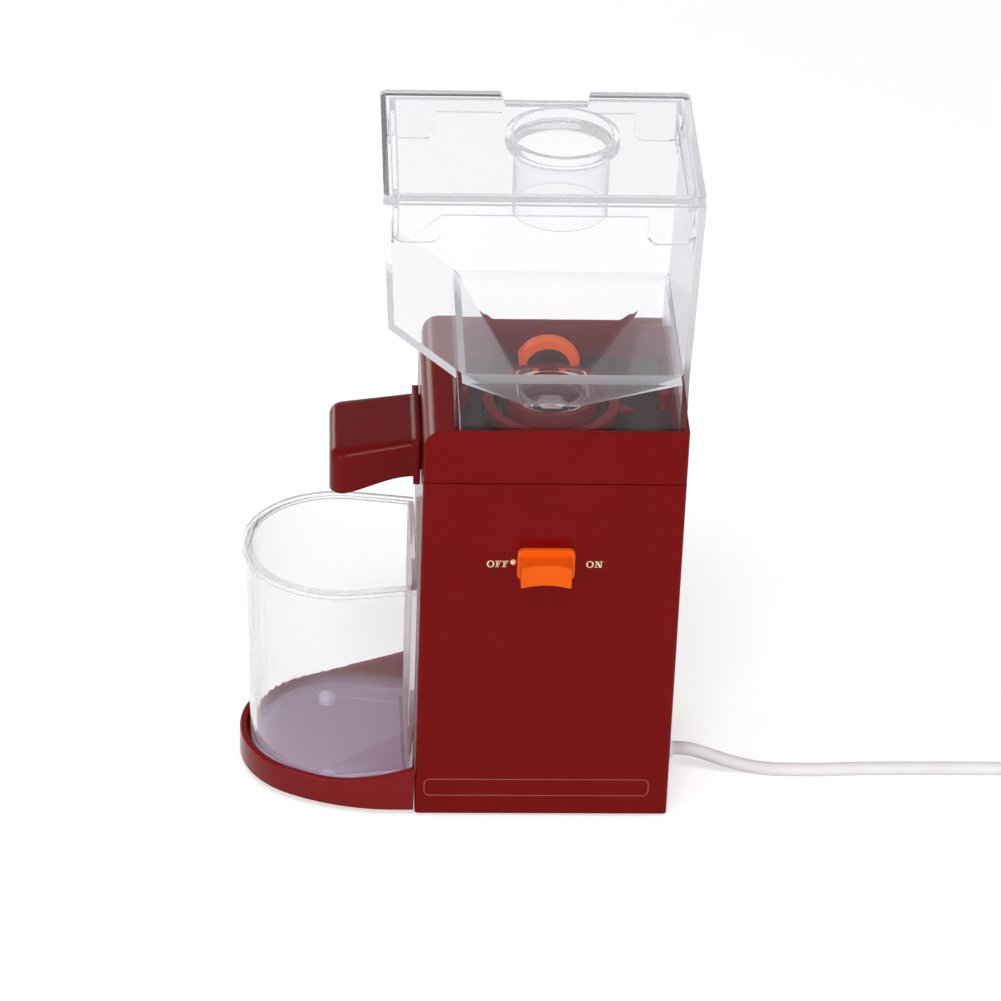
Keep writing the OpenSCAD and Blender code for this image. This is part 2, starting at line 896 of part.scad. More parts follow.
module chamber() {
    color(dark) placed() difference() {
        union() {
            rod(chamber_r + chamber_wall, chamber_floor - chamber_floor_t, deck_bottom);
            rod(rim_r, chamber_top, deck_bottom);
            rod(chamber_boss_r, chamber_boss_z, chamber_floor - chamber_floor_t);
        }
        rod(chamber_r, chamber_floor, deck_bottom + over);
        rod(bush_r + snug, chamber_boss_z - over, chamber_floor + over);
        at_flange_screws() rod(screw_r + snug, chamber_top - over, deck_bottom + over);
        at_flange_screws() rod(screw_head_r + snug, chamber_boss_z, chamber_top);
        span([-chamber_r - chamber_wall - over, duct_wall + duct_wall - duct_half, duct_bottom + duct_wall],
            [0, duct_half - duct_wall - duct_wall, chamber_top - snug]);
    }
}

module chamber_screws() {
    color(steel) placed() at_flange_screws()
        screw_up(chamber_top - screw_head_h, rim_t + screw_bite);
}

module chamber_bush() {
    color(brass) placed() tube(bush_r, spindle_r + run_gap, chamber_boss_z, bush_top);
}

module outlet_neck() {
    color(dark) placed() difference() {
        span([duct_x0, -duct_half, duct_bottom], [0, duct_half, duct_top]);
        span([duct_x0 - over, duct_wall - duct_half, duct_bottom + duct_wall],
            [over, duct_half - duct_wall, duct_top - duct_wall]);
        rod(chamber_r + chamber_wall + snug, duct_bottom - over, duct_top + over);
        rod(rim_r + gap, chamber_top - gap, duct_top + over);
        at_flange_screws() rod(screw_head_r + gap, duct_bottom - over, duct_top + over);
    }
}

module burr_carrier() {
    color(dark) placed() {
        tube(ring_r, burr_r - burr_gap, carrier_z, ring_z);
        tube(skirt_r, skirt_r - skirt_wall, skirt_bottom, carrier_z);
    }
}

module grind_ring() {
    color(red) placed() {
        difference() {
            union() {
                rod(ring_r, ring_z, ring_top);
                span([-lug_half, lug_y0, ring_z], [lug_half, lug_y1, loop_z]);
            }
            rod(ring_r - ring_w, ring_z - over, ring_top + over);
        }
        difference() {
            translate([0, 0, tab_z]) linear_extrude(tab_t)
                polygon([[tab_root_r, tab_y0], [tab_tip_r, tab_tip_y], [tab_root_r, tab_y1]]);
            rod(tab_root_r, ring_z - over, ring_top + over);
        }
    }
}

module ring_loop() {
    color(orange) placed() along_y(loop_y0, loop_y1) intersection() {
        translate([0, loop_z]) difference() {
            circle(r = loop_r);
            circle(r = loop_in);
        }
        translate([-loop_r, loop_z]) square([2 * loop_r, loop_r]);
    }
}

module throat_cup() {
    color(red) placed() tube(throat_r, throat_r - throat_wall, ring_z, throat_top);
}

// Grooves down a burr's face, set slanting like a millstone's furrows
module furrows(r, z0, z1) {
    for (i = [0 : burr_teeth - 1]) {
        rotate([0, 0, 360 * i / burr_teeth]) translate([r, 0, 0])
            span([-burr_groove, -burr_groove / 2, z0], [burr_groove, burr_groove / 2, z1]);
    }
}

module upper_burr() {
    top_r = burr_top_r + burr_top_gap;
    furrow_z = upper_burr_z + (carrier_z - upper_burr_z) * upper_furrow;
    color(steel) placed() difference() {
        rod(skirt_r - skirt_wall - snug, upper_burr_z, carrier_z);
        cone(burr_r + burr_gap, top_r, upper_burr_z, carrier_z + snug);
        furrows(burr_r + burr_gap, upper_burr_z - over, furrow_z);
    }
}

module lower_burr() {
    furrow_z = lower_burr_z + (lower_burr_top - lower_burr_z) * lower_furrow;
    color(steel) placed() difference() {
        cone(burr_r, burr_top_r, lower_burr_z, lower_burr_top);
        rod(spindle_r + snug, lower_burr_z - over, lower_burr_top + over);
        furrows(burr_r, lower_burr_z - over, furrow_z);
    }
}

module burr_nut() {
    color(steel) placed() difference() {
        translate([0, 0, lower_burr_top])
            cylinder(d = nut_flats / cos(180 / nut_sides), h = nut_h, $fn = nut_sides);
        rod(spindle_r + snug, lower_burr_top - over, spindle_top + over);
    }
}

module spindle() {
    color(steel) placed() rod(spindle_r, plate_z + gap, spindle_top);
}

module sweeper() {
    color(dark) placed() difference() {
        union() {
            rod(sweeper_r, sweeper_z, sweeper_z + sweeper_t);
            rod(sweeper_hub_r, sweeper_z, lower_burr_z);
            for (i = [0 : vanes - 1]) {
                rotate([0, 0, 360 * i / vanes])
                    span([0, -vane_t / 2, sweeper_z],
                        [sweeper_r - over, vane_t / 2, sweeper_z + sweeper_t + vane_h]);
            }
        }
        rod(spindle_r + snug, sweeper_z - over, lower_burr_z + over);
    }
}

// Outlet chute, catch cup, hopper and lid
module chute() {
    color(red) placed() {
        difference() {
            union() {
                chute_flange();
                intersection() {
                    hood_shape(0);
                    span([hood_x0 - over, -flange_w, 0], [flange_x0, flange_w, flange_top]);
                }
            }
            difference() {
                hood_shape(hood_wall);
                span([flange_x0, -flange_w, 0], [0, flange_w, body_h]);
            }
            along_y(-flange_w, flange_w) hood_cut();
            duct_way(spigot_gap + spigot_wall, flange_x0 - over, 0);
        }
        difference() {
            duct_way(spigot_gap, duct_x0, duct_x0 + spigot_in);
            duct_way(spigot_gap + spigot_wall, duct_x0 - over, duct_x0 + spigot_in + over);
        }
    }
}

module chute_flange() {
    along_x(flange_x0, duct_x0) translate([0, flange_top - flange_h / 2])
        round_plate(flange_w, flange_h, flange_corner);
}

// A box that runs along the duct, drawn in from its inner faces
module duct_way(inset, x0, x1) {
    y = duct_half - duct_wall - inset;
    span([x0, -y, duct_bottom + duct_wall + inset], [x1, y, duct_top - duct_wall - inset]);
}

// The hood as a whole lump, drawn in by an inset
module hood_shape(inset) {
    low = flange_top - flange_h - hood_skirt_out;
    hull() {
        for (y = [-1, 1]) {
            translate([flange_x0, y * (hood_half_in - hood_round), hood_top_in - hood_round])
                sphere(r = hood_round - inset, $fn = hood_fn);
            translate([flange_x0, y * (hood_half_in - hood_round), low])
                cylinder(r = hood_round - inset, h = over, $fn = hood_fn);
            translate([hood_x0 + hood_corner, y * (hood_w / 2 - hood_corner), 0])
                hood_post(low, inset);
        }
    }
}

// A round upright at the hood's outer corner, with its top edge rounded over
module hood_post(low, inset) {
    top = hood_top_in - hood_fall - hood_round;
    translate([0, 0, top]) rotate_extrude($fn = hood_fn) {
        translate([hood_corner - hood_round, 0]) intersection() {
            circle(r = hood_round - inset, $fn = hood_fn);
            square(hood_round);
        }
        square([hood_corner - hood_round, hood_round - inset]);
    }
    translate([0, 0, low]) cylinder(r = hood_corner - inset, h = top - low, $fn = hood_fn);
}

// What the hood's lower edge leaves out: an S curve, lower at the outer end
module hood_cut() {
    low = flange_top - flange_h - 2 * hood_skirt_out;
    z_in = hood_top_in - hood_skirt_in;
    z_out = hood_top_in - hood_skirt_out;
    polygon(concat(
        [[flange_x0, low], [hood_x0 - over, low], [hood_x0 - over, z_out]],
        [for (i = [0 : hood_steps])
            let (t = i / hood_steps)
            [hood_x0 + t * hood_len, z_out + (z_in - z_out) * (1 - cos(180 * t)) / 2]]
    ));
}

module cup() {
    color(clear) placed() {
        difference() {
            union() {
                cup_lump(bead_out, cup_low_inset, 0, cup_base, cup_top);
                translate([0, 0, cup_top - bead_h]) linear_extrude(bead_h) cup_plan(0, 0);
                translate([0, 0, cup_z]) linear_extrude(cup_foot_h)
                    cup_plan(cup_low_inset + cup_foot_w, cup_foot_w);
            }
            cup_lump(bead_out + cup_wall, cup_low_inset + cup_wall, cup_wall,
                cup_base + cup_floor_t, cup_top + over);
            translate([0, 0, cup_z - over]) linear_extrude(cup_foot_h + over)
                cup_plan(cup_low_inset + 2 * cup_foot_w, 2 * cup_foot_w);
            at_tray_feet() rod(foot_head_r + over, cup_z - over, cup_base);
        }
    }
}

// The cup's plan, drawn in by an inset: round, with sides that draw in to a flat back,
// which stands upright beside the body and has an inset of its own
module cup_plan(inset, back_inset) {
    x1 = tray_x1 - cup_inset - back_inset;
    half = cup_r - cup_taper - inset;
    intersection() {
        hull() {
            translate([cup_x, 0]) circle(r = cup_r - inset, $fn = nose_fn);
            translate([x1 - slab, -half]) square([slab, 2 * half]);
        }
        translate([cup_x - cup_r, -cup_r]) square([x1 - cup_x + cup_r, 2 * cup_r]);
    }
}

// A drafted body on the cup's plan
module cup_lump(top_inset, low_inset, back_inset, z0, z1) {
    hull() {
        translate([0, 0, z0]) linear_extrude(slab) cup_plan(low_inset, back_inset);
        translate([0, 0, z1 - slab]) linear_extrude(slab) cup_plan(top_inset, back_inset);
    }
}

module hopper() {
    inner_x0 = sleeve_x0 + hopper_wall;
    inner_x1 = sleeve_x1 - hopper_wall;
    inner_y = sleeve_y - hopper_wall;
    color(clear) placed() difference() {
        union() {
            difference() {
                hopper_lump(0, 0, hopper_z0, hopper_top);
                span([inner_x0, -inner_y, hopper_z0 - over], [inner_x1, inner_y, sleeve_top - band_h]);
            }
            funnel(0, hopper_wall, sleeve_top - band_h, funnel_low - hopper_wall);
            rod(neck_r + neck_wall, neck_bottom, funnel_low);
        }
        hopper_lump(hopper_wall, slope_rise, sleeve_top + slope_rise - slab, hopper_top + over);
        funnel(slab, 0, sleeve_top + slope_rise, funnel_low);
        rod(neck_r, neck_bottom - over, funnel_low + over);
    }
}

// The hopper's outer form, drawn in by an inset and raised along its slope
module hopper_lump(inset, rise, z0, z1) {
    taper = hopper_y - sleeve_y;
    intersection() {
        along_y(-hopper_y, hopper_y) polygon([
            [sleeve_x0 + inset, z0], [sleeve_x1 - inset, z0], [sleeve_x1 - inset, sleeve_top],
            [hopper_x1 - inset, hopper_top], [hopper_x1 - inset, z1], [hopper_x0 + inset, z1],
            [hopper_x0 + inset, hopper_top], [bend_x + inset, bend_z + rise],
            [sleeve_x0 + inset, sleeve_top + rise]
        ]);
        along_x(hopper_x0 - over, hopper_x1 + over) polygon([
            [inset - sleeve_y, z0], [sleeve_y - inset, z0], [sleeve_y - inset, sleeve_top],
            [sleeve_y + taper - inset, hopper_top], [sleeve_y + taper - inset, z1],
            [inset - sleeve_y - taper, z1], [inset - sleeve_y - taper, hopper_top],
            [inset - sleeve_y, sleeve_top]
        ]);
    }
}

// The funnel from the sleeve's rectangle down to the throat, grown by a wall
module funnel(inset, grow, z1, z0) {
    x0 = sleeve_x0 + hopper_wall + inset;
    x1 = sleeve_x1 - hopper_wall - inset;
    y = sleeve_y - hopper_wall - inset;
    hull() {
        span([x0, -y, z1], [x1, y, z1 + slab]);
        translate([0, 0, z0]) linear_extrude(slab)
            round_plate(2 * (funnel_half_x + grow), 2 * (funnel_half_y + grow), funnel_corner + grow,
                $fn = funnel_fn);
    }
}

module lid() {
    width = hopper_x1 - hopper_x0;
    middle = (hopper_x1 + hopper_x0) / 2;
    bore_r = tube_r - tube_wall;
    color(clear) placed() {
        difference() {
            union() {
                translate([middle, 0, lid_bottom]) linear_extrude(lid_t)
                    round_plate(width, 2 * hopper_y, lid_corner);
                lid_skirt(lid_bottom - skirt_h);
                for (x = [0, 1], y = [-1, 1]) corner_tab(x, y);
            }
            lid_notch();
            rod(bore_r + tube_wall / 2, lid_bottom - over, lid_top + over);
        }
        rotate_extrude() polygon([
            [tube_r, lid_bottom - tube_drop], [tube_r, lid_top - lip_cone], [lip_r, lid_top],
            [lip_r, lid_top + lip_h], [bore_r + lip_flare, lid_top + lip_h], [bore_r, lid_top - lip_cone],
            [bore_r, lid_bottom - tube_drop]
        ]);
    }
}

module lid_skirt(z0) {
    difference() {
        span([skirt_x0, -skirt_y, z0], [skirt_x1, skirt_y, lid_bottom]);
        span([skirt_x0 + skirt_t, skirt_t - skirt_y, z0 - over],
            [skirt_x1 - skirt_t, skirt_y - skirt_t, lid_bottom + over]);
    }
}

// A corner tab: one leaf along the front or back, one short leaf along the side
module corner_tab(right, y_side) {
    x0 = right == 1 ? skirt_x1 - tab_w : skirt_x0;
    xs = right == 1 ? skirt_x1 - skirt_t : skirt_x0;
    y0 = y_side == 1 ? skirt_y - skirt_t : -skirt_y;
    yr = y_side == 1 ? skirt_y - tab_return : -skirt_y;
    along_y(y0, y0 + skirt_t) tab_leaf(x0, tab_w);
    along_x(xs, xs + skirt_t) tab_leaf(yr, tab_return);
}

// A leaf's outline with round lower corners
module tab_leaf(start, length) {
    translate([start, lid_bottom - tab_h + tab_corner]) square([length, tab_h - tab_corner]);
    translate([start + tab_corner, lid_bottom - tab_h]) square([length - 2 * tab_corner, tab_corner]);
    for (u = [start + tab_corner, start + length - tab_corner]) {
        translate([u, lid_bottom - tab_h + tab_corner]) circle(r = tab_corner);
    }
}

// The thumb notch in the lid's rear edge
module lid_notch() {
    translate([notch_x, hopper_y, lid_bottom - tab_h]) linear_extrude(tab_h + lid_t + over) polygon([
        [-notch_w / 2, over], [-notch_w_in / 2, -notch_in], [notch_w_in / 2, -notch_in], [notch_w / 2, over]
    ]);
}

// Drive
module drive_gear() {
    color(white) placed() difference() {
        union() {
            translate([0, 0, gear_z0]) linear_extrude(gear_z1 - gear_z0)
                polygon(gear_points(gear_teeth, gear_pitch_r));
            rod(gear_hub_r, gear_z1, gear_z1 + gear_hub_h);
        }
        rod(spindle_r + snug, gear_z0 - over, gear_z1 + gear_hub_h + over);
    }
}

module pinion() {
    color(brass) placed() at_motor() difference() {
        translate([0, 0, gear_z0 - pinion_over]) linear_extrude(gear_z1 - gear_z0 + 2 * pinion_over)
            polygon(gear_points(pinion_teeth, pinion_pitch_r));
        rod(shaft_r + snug, gear_z0 - over, gear_z1 + over);
    }
}

module gear_plate() {
    color(steel) placed() difference() {
        span([gap - inner_w, gap - inner_d, plate_z], [inner_w - gap, inner_d - gap, plate_top]);
        rod(bush_r + snug, plate_z - over, plate_top + over);
        at_pillars() rod(screw_r + snug, plate_z - over, plate_top + over);
        at_motor() rod(can_boss_r + snug, plate_z - over, plate_top + over);
        at_motor_screws() rod(screw_r + snug, plate_z - over, plate_top + over);
    }
}

module plate_screws() {
    color(steel) placed() at_pillars() screw_down(plate_top, plate_t + screw_len - over);
}

// A screw whose head lies above its shank
module screw_down(z_head, length) {
    rod(screw_head_r, z_head, z_head + screw_head_h);
    rod(screw_r, z_head - length, z_head);
}

module plate_bush() {
    color(brass) placed() tube(bush_r, spindle_r + run_gap, plate_z, gear_z0 - gap);
}

module at_motor_screws() {
    at_motor() for (y = [-1, 1]) translate([0, y * motor_screw_r, 0]) children();
}

module motor_can() {
    color(steel) placed() difference() {
        union() {
            at_motor() rod(motor_r, can_z0, plate_z);
            at_motor() rod(can_boss_r, plate_z, plate_top);
        }
        at_motor() rod(motor_r - can_wall, can_z0 - over, plate_z - can_cap);
        at_motor() rod(motor_bush_r + snug, plate_z - can_cap - over, plate_top + over);
        at_motor_screws() rod(screw_r + snug, plate_z - can_cap - over, plate_z + over);
    }
}

module motor_screws() {
    color(steel) placed() at_motor_screws() screw_down(plate_top, plate_t + can_cap + over);
}

module motor_magnets() {
    color(dark) placed() at_motor() for (side = [0, 180]) {
        rotate([0, 0, side - magnet_angle / 2]) translate([0, 0, magnet_z0])
            rotate_extrude(angle = magnet_angle) translate([magnet_in, 0])
                square([magnet_r - magnet_in, magnet_z1 - magnet_z0]);
    }
}

module end_bell() {
    color(dark) placed() at_motor() difference() {
        union() {
            rod(motor_r, bell_z, can_z0);
            rod(bell_boss_r, can_z0, can_z0 + bell_boss_h);
        }
        rod(motor_bush_r + snug, bell_z - over, can_z0 + bell_boss_h + over);
    }
}

module motor_bushes() {
    color(brass) placed() at_motor() {
        tube(motor_bush_r, shaft_r + run_gap, bell_z, can_z0 + bell_boss_h);
        tube(motor_bush_r, shaft_r + run_gap, plate_z - can_cap, plate_top);
    }
}

module brush_holders() {
    r0 = commutator_r + brush_gap;
    color(dark) placed() at_motor() for (side = [0, 180]) rotate([0, 0, side]) {
        span([r0, -brush_w / 2, can_z0 + bell_boss_h + gap],
            [r0 + brush_len, brush_w / 2, commutator_z1]);
        span([bell_boss_r + gap, -brush_w / 2, can_z0],
            [r0 + brush_len, brush_w / 2, can_z0 + bell_boss_h + gap]);
    }
}

module rotor_shaft() {
    color(steel) placed() at_motor() rod(shaft_r, fan_z0, gear_z1 + pinion_over);
}

module armature() {
    color(steel) placed() at_motor() difference() {
        rod(armature_r, armature_z0, armature_z1);
        rod(shaft_r + snug, armature_z0 - over, armature_z1 + over);
        for (i = [0 : slots - 1]) {
            rotate([0, 0, 360 * i / slots])
                span([slot_in, -slot_w / 2, armature_z0 - over],
                    [armature_r + over, slot_w / 2, armature_z1 + over]);
        }
    }
}

module windings() {
    color(copper) placed() at_motor() {
        tube(winding_r, winding_in, armature_z0 - winding_h, armature_z0);
        tube(winding_r, winding_in, armature_z1, armature_z1 + winding_h);
    }
}

module commutator() {
    color(copper) placed() at_motor() tube(commutator_r, shaft_r + snug, commutator_z0, commutator_z1);
}

module fan() {
    color(dark) placed() at_motor() difference() {
        union() {
            rod(fan_hub_r, fan_z0, fan_z1);
            rod(fan_r, fan_z0, fan_z0 + fan_disc);
            for (i = [0 : fan_blades - 1]) {
                rotate([0, 0, 360 * i / fan_blades])
                    span([0, -fan_blade_t / 2, fan_z0], [fan_r - over, fan_blade_t / 2, fan_z1]);
            }
        }
        rod(shaft_r + snug, fan_z0 - over, fan_z1 + over);
    }
}

// Switch
module switch_knob() {
    y0 = -half_d - grip_reach;
    plate_y = knob_y1 - knob_t;
    color(orange) placed() translate([knob_x, 0, knob_z]) {
        along_y(plate_y, knob_y1) round_plate(knob_w, knob_h, knob_corner);
        span([-stem_w / 2, knob_y1, -stem_h / 2], [stem_w / 2, -inner_d + stem_in, stem_h / 2]);
        difference() {
            along_y(y0, plate_y) translate([grip_dx, 0]) round_plate(grip_w, grip_h, grip_corner);
            translate([grip_dx, y0 + grip_scoop - scoop_r, -grip_h])
                cylinder(r = scoop_r, h = 2 * grip_h, $fn = scoop_fn);
        }
    }
}

module switch_box() {
    color(dark) placed() difference() {
        span([knob_x - box_w / 2, -inner_d, knob_z - box_h / 2],
            [knob_x + box_w / 2, box_d - inner_d, knob_z + box_h / 2]);
        knob_slot(-inner_d - over, -inner_d + stem_in + over);
    }
}

module switch_dot() {
    color(white) placed() translate([dot_x, 0, knob_z]) rotate([90, 0, 0]) {
        rod(dot_stem_r, inner_d, half_d);
        intersection() {
            translate([0, 0, half_d]) sphere(r = dot_r);
            rod(dot_r + over, half_d, half_d + dot_r);
        }
    }
}

// Mains cord
module cord_gland() {
    color(grey) placed() translate([0, gland_y, gland_z]) rotate([0, 90, 0]) {
        cone(gland_tail_r, gland_nose_r, half_w, half_w + gland_nose);
        rod(gland_tail_r, inner_w - gland_tail, half_w);
        rod(gland_flange_r, inner_w - gland_flange_t, inner_w);
    }
}

module power_cord() {
    color(grey) placed() sweep(cord_route, cord_r, cord_sides);
}

// How far round the coil is drawn in, and how high it lies, after a number of turns
function coil_radius(t) = coil_r - coil_pitch * min(t, coil_turns - t);
function coil_level(t) =
    let (s = max(0, min(1, (t - coil_turns / 2 + coil_climb) / (2 * coil_climb))))
    coil_z + coil_rise * s * s * (3 - 2 * s);

coil_loops = [for (i = [0 : coil_turns * coil_rings])
    let (t = i / coil_rings, a = 360 * t)
    [coil_x + coil_radius(t) * sin(a), coil_y - coil_radius(t) * cos(a), coil_level(t)]];
coil_points = concat(
    [[coil_start_x, gland_y, coil_z]], coil_loops, [[coil_end_x, gland_y, plug_z]]
);
module cord_coil() {
    color(grey) placed() sweep(coil_points, cord_r, coil_sides);
}

// A flat strap round the coil's bundle, where the spiral turns back
module coil_tie() {
    near_r = coil_radius(coil_turns / 2) - cord_r - tie_gap;
    far_r = coil_radius(0.5) + cord_r + tie_gap;
    low = coil_z - cord_r - tie_gap;
    high = plug_z + cord_r + tie_gap;
    color(dark) placed() translate([coil_x, coil_y, 0]) difference() {
        span([-tie_w / 2, near_r - tie_t, low - tie_t], [tie_w / 2, far_r + tie_t, high + tie_t]);
        span([-tie_w / 2 - over, near_r, low], [tie_w / 2 + over, far_r, high]);
    }
}

module plug_body() {
    x1 = coil_end_x + relief_len;
    color(grey) placed() translate([0, gland_y, plug_z]) {
        rotate([0, 90, 0]) cone(relief_r0, relief_r1, coil_end_x, x1);
        along_x(x1, x1 + plug_len) round_plate(plug_w, plug_h, plug_corner);
    }
}

module plug_pins() {
    x0 = coil_end_x + relief_len + plug_len;
    color(steel) placed() for (y = [-1, 1]) {
        translate([0, gland_y + y * pin_half, plug_z]) rotate([0, 90, 0]) rod(pin_r, x0, x0 + pin_len);
    }
}

lower_housing();
upper_housing();
base_plate();
rubber_feet();
cup_tray();
tray_feet();
housing_screws();
tray_screws();
deck_plate();
deck_screws();
chamber();
chamber_screws();
chamber_bush();
outlet_neck();
chute();
cup();
hopper();
lid();
grind_ring();
ring_loop();
throat_cup();
burr_carrier();
upper_burr();
lower_burr();
burr_nut();
spindle();
sweeper();
drive_gear();
gear_plate();
plate_screws();
plate_bush();
motor_can();
motor_magnets();
end_bell();
motor_bushes();
motor_screws();
brush_holders();
rotor_shaft();
armature();
windings();
commutator();
fan();
pinion();
switch_knob();
switch_box();
switch_dot();
cord_gland();
power_cord();
cord_coil();
coil_tie();
plug_body();
plug_pins();
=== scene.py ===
"""Looks of an electric grain mill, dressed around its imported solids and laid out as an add-on."""
import json
from math import cos, pi, radians, sin

import bmesh
import bpy
from bpy.props import FloatProperty, FloatVectorProperty, PointerProperty
from bpy.types import Operator, Panel, PropertyGroup
from mathutils import Matrix, Vector


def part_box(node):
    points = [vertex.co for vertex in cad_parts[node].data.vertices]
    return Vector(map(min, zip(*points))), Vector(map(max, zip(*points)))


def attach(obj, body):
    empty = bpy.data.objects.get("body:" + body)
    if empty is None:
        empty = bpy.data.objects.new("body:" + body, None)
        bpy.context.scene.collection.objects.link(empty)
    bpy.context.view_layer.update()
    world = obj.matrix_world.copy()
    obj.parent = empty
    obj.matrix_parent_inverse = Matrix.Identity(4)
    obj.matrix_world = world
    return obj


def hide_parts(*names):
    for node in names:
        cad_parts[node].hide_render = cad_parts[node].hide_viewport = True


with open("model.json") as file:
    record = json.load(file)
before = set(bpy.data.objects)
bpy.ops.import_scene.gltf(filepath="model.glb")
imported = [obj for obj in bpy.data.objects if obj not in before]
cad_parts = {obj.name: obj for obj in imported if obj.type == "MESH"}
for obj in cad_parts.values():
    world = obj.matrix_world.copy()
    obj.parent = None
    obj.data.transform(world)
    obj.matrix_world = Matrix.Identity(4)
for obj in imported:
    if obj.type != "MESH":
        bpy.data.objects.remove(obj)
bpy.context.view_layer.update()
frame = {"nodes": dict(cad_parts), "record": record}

bl_info = {
    "name": "Electric grain mill looks",
    "version": (1, 0, 0),
    "blender": (4, 5, 0),
    "location": "View3D > Sidebar > Grain mill",
    "description": "Finishes, printing, cord and studio for an electric grain mill",
    "category": "Object",
}

MM = 0.001
NODES = frame["nodes"]

# Middle of the body, from which the machine's own axes run
BODY_LOW, BODY_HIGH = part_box("lower_housing")
AXIS_X = (BODY_LOW.x + BODY_HIGH.x) / 2
AXIS_Y = (BODY_LOW.y + BODY_HIGH.y) / 2
FRONT_Y = BODY_LOW.y

# Route of the free cord in millimetres from the body's middle, as in the solids
CORD_ROUTE = [
    (53.5, -13, 12.5), (57, -13, 12.5), (61, -13, 11.9), (66, -13, 10.4), (71, -13, 8.4),
    (76, -13, 6.5), (81, -13, 4.9), (87, -13.2, 3.5), (94, -13.6, 2.8), (103, -14, 2.8), (113, -14, 2.8),
    (124, -13.4, 2.8), (138, -13, 2.8), (153, -12.8, 2.8), (168, -12.7, 2.8), (184, -12.8, 2.8),
    (198, -13, 2.9), (210, -13, 3.3), (220, -13, 3.8), (225, -13, 3.9), (230, -13, 3.9),
]
COIL_CENTRE = (236, 23)
COIL_RADIUS = 36
COIL_PITCH = 6
COIL_TURNS = 5
COIL_STEPS = 48
COIL_LOW = 3.9
COIL_RISE = 6
COIL_CLIMB = 0.25
COIL_END = (258, -13)
ROUTE_STEPS = 6

# Letters in units of their cap height, as closed outlines
SERIF = 0.16
STEM = 0.21
HAIR = 0.1
LETTER_GAP = 0.1

# Edges: how far apart points are joined, which edges are rounded, and how much large faces set the shading
JOIN = 0.05 * MM
FOOT_JOIN = 0.1 * MM
PRINT_JOIN = 0.002 * MM
EDGE_ANGLE = radians(35)
FLAT_WEIGHT = 80
SHINE_SAMPLES = 6
CORD_ROUNDNESS = 5

# Moulded skin: noise scales per metre, and how far colour and gloss drift either way
DRIFT_SCALE = 40.0
COLOUR_DRIFT = 0.08
GLOSS_SCALE = 300.0
GLOSS_DRIFT = 0.2
GRAIN_SCALE = 1800.0
GRAIN_DEPTH = 0.02 * MM

# Clear plastic
CLEAR_IOR = 1.47
CLEAR_COLOURS = (0.98, 0.982, 0.995), (0.992, 0.993, 1)
CLEAR_SHINE = (0.4, 0.4, 0.42, 1)
CLEAR_ROUGHEST = 0.04
CLEAR_WAVES = 90.0
CLEAR_WAVE_DEPTH = 0.02 * MM
LET_THROUGH = (0.97, 0.97, 0.975, 1)
# Light grey that reflected rays see in clear plastic, and its share: painted light standing in for light
# carried along the walls
PIPED_LIGHT_GREY = (0.45, 0.45, 0.47, 1)
PIPED_LIGHT_SHARE = 0.65

# The cup's frosted floor: its levels above the cup's foot, and how the frost fades under and over it
FROST_LOW = 4.8 * MM
FROST_HIGH = 7.6 * MM
FROST_FADE_UNDER = 0.2 * MM
FROST_FADE_OVER = 6 * MM
FROST_CLARITY = 0.74
# Lilac painted into the frost: the red tray seen through the haze, painted on
PAINTED_THROUGH_LILAC = (0.87, 0.75, 0.98, 1)

# Turned metal and ink
TOOL_LINES = 900.0
TOOL_WANDER = 2.0
TOOL_DEPTH = 0.01 * MM
INK_SCALE = 4000.0
INK_DEPTH = 0.01 * MM

# Studio: lamps by name, place in metres from the floor under the body's middle, and size
LAMPS = (
    ("key", (-1.3, -1.2, 0.75), 0.9),
    ("fill", (1.3, -1.1, 0.7), 0.9),
    ("rim", (-0.9, 1.4, 0.5), 0.5),
    ("overhead", (-0.2, -0.95, 1.5), 0.35),
)
LAMP_AIM = (0, 0, 140)
FLOOR_REACH = 5.0
FLOOR_DROP = 0.02 * MM
SENSOR_WIDTH = 36
VIEW_REACH = 50
# Upward share of a view direction at which the wall's brightness starts and ends its change to the ceiling's
WALL_TOP = 0.15
CEILING_START = 0.6
SEEN_BY = "Is Camera Ray", "Is Glossy Ray", "Is Transmission Ray"


def srgb(red, green, blue):
    """Linear colour of a screen colour given in 0 to 255."""
    def linear(v):
        v /= 255
        return v / 12.92 if v <= 0.04045 else ((v + 0.055) / 1.055) ** 2.4
    return linear(red), linear(green), linear(blue)


def place(x, y, z):
    """A point given in millimetres from the body's middle, in the row frame."""
    return Vector((AXIS_X + x * MM, AXIS_Y + y * MM, z * MM))


class MillSizes(PropertyGroup):
    """Sizes of the dressing."""

    shine_edge: FloatProperty(
        name="Shine edge", description="Rounding of the red and orange edges that only the shine shows",
        default=0.8 * MM, unit="LENGTH")
    chute_edge: FloatProperty(
        name="Chute edge", description="Rounding of the chute's edges that only the shine shows",
        default=1.8 * MM, unit="LENGTH")
    tray_edge: FloatProperty(
        name="Tray edge", description="Rounding of the tray's edges",
        default=0.7 * MM, unit="LENGTH")
    plug_edge: FloatProperty(
        name="Plug edge", description="Rounding of the plug's and the gland's edges",
        default=0.8 * MM, unit="LENGTH")
    small_edge: FloatProperty(
        name="Small edge", description="Rounding of other pieces' edges",
        default=0.3 * MM, unit="LENGTH")
    fine_edge: FloatProperty(
        name="Fine edge", description="Rounding of the ring's and the tray feet's edges",
        default=0.2 * MM, unit="LENGTH")
    cord_diameter: FloatProperty(
        name="Cord diameter", description="Thickness of the mains cord",
        default=5.4 * MM, unit="LENGTH")
    cap_height: FloatProperty(
        name="Letter height", description="Height of the switch lettering",
        default=2.9 * MM, unit="LENGTH")
    print_thickness: FloatProperty(
        name="Print thickness", description="How far printing stands off the panel",
        default=0.06 * MM, unit="LENGTH")
    frame_line: FloatProperty(
        name="Frame line", description="Width of the printed frame's line",
        default=0.4 * MM, unit="LENGTH")


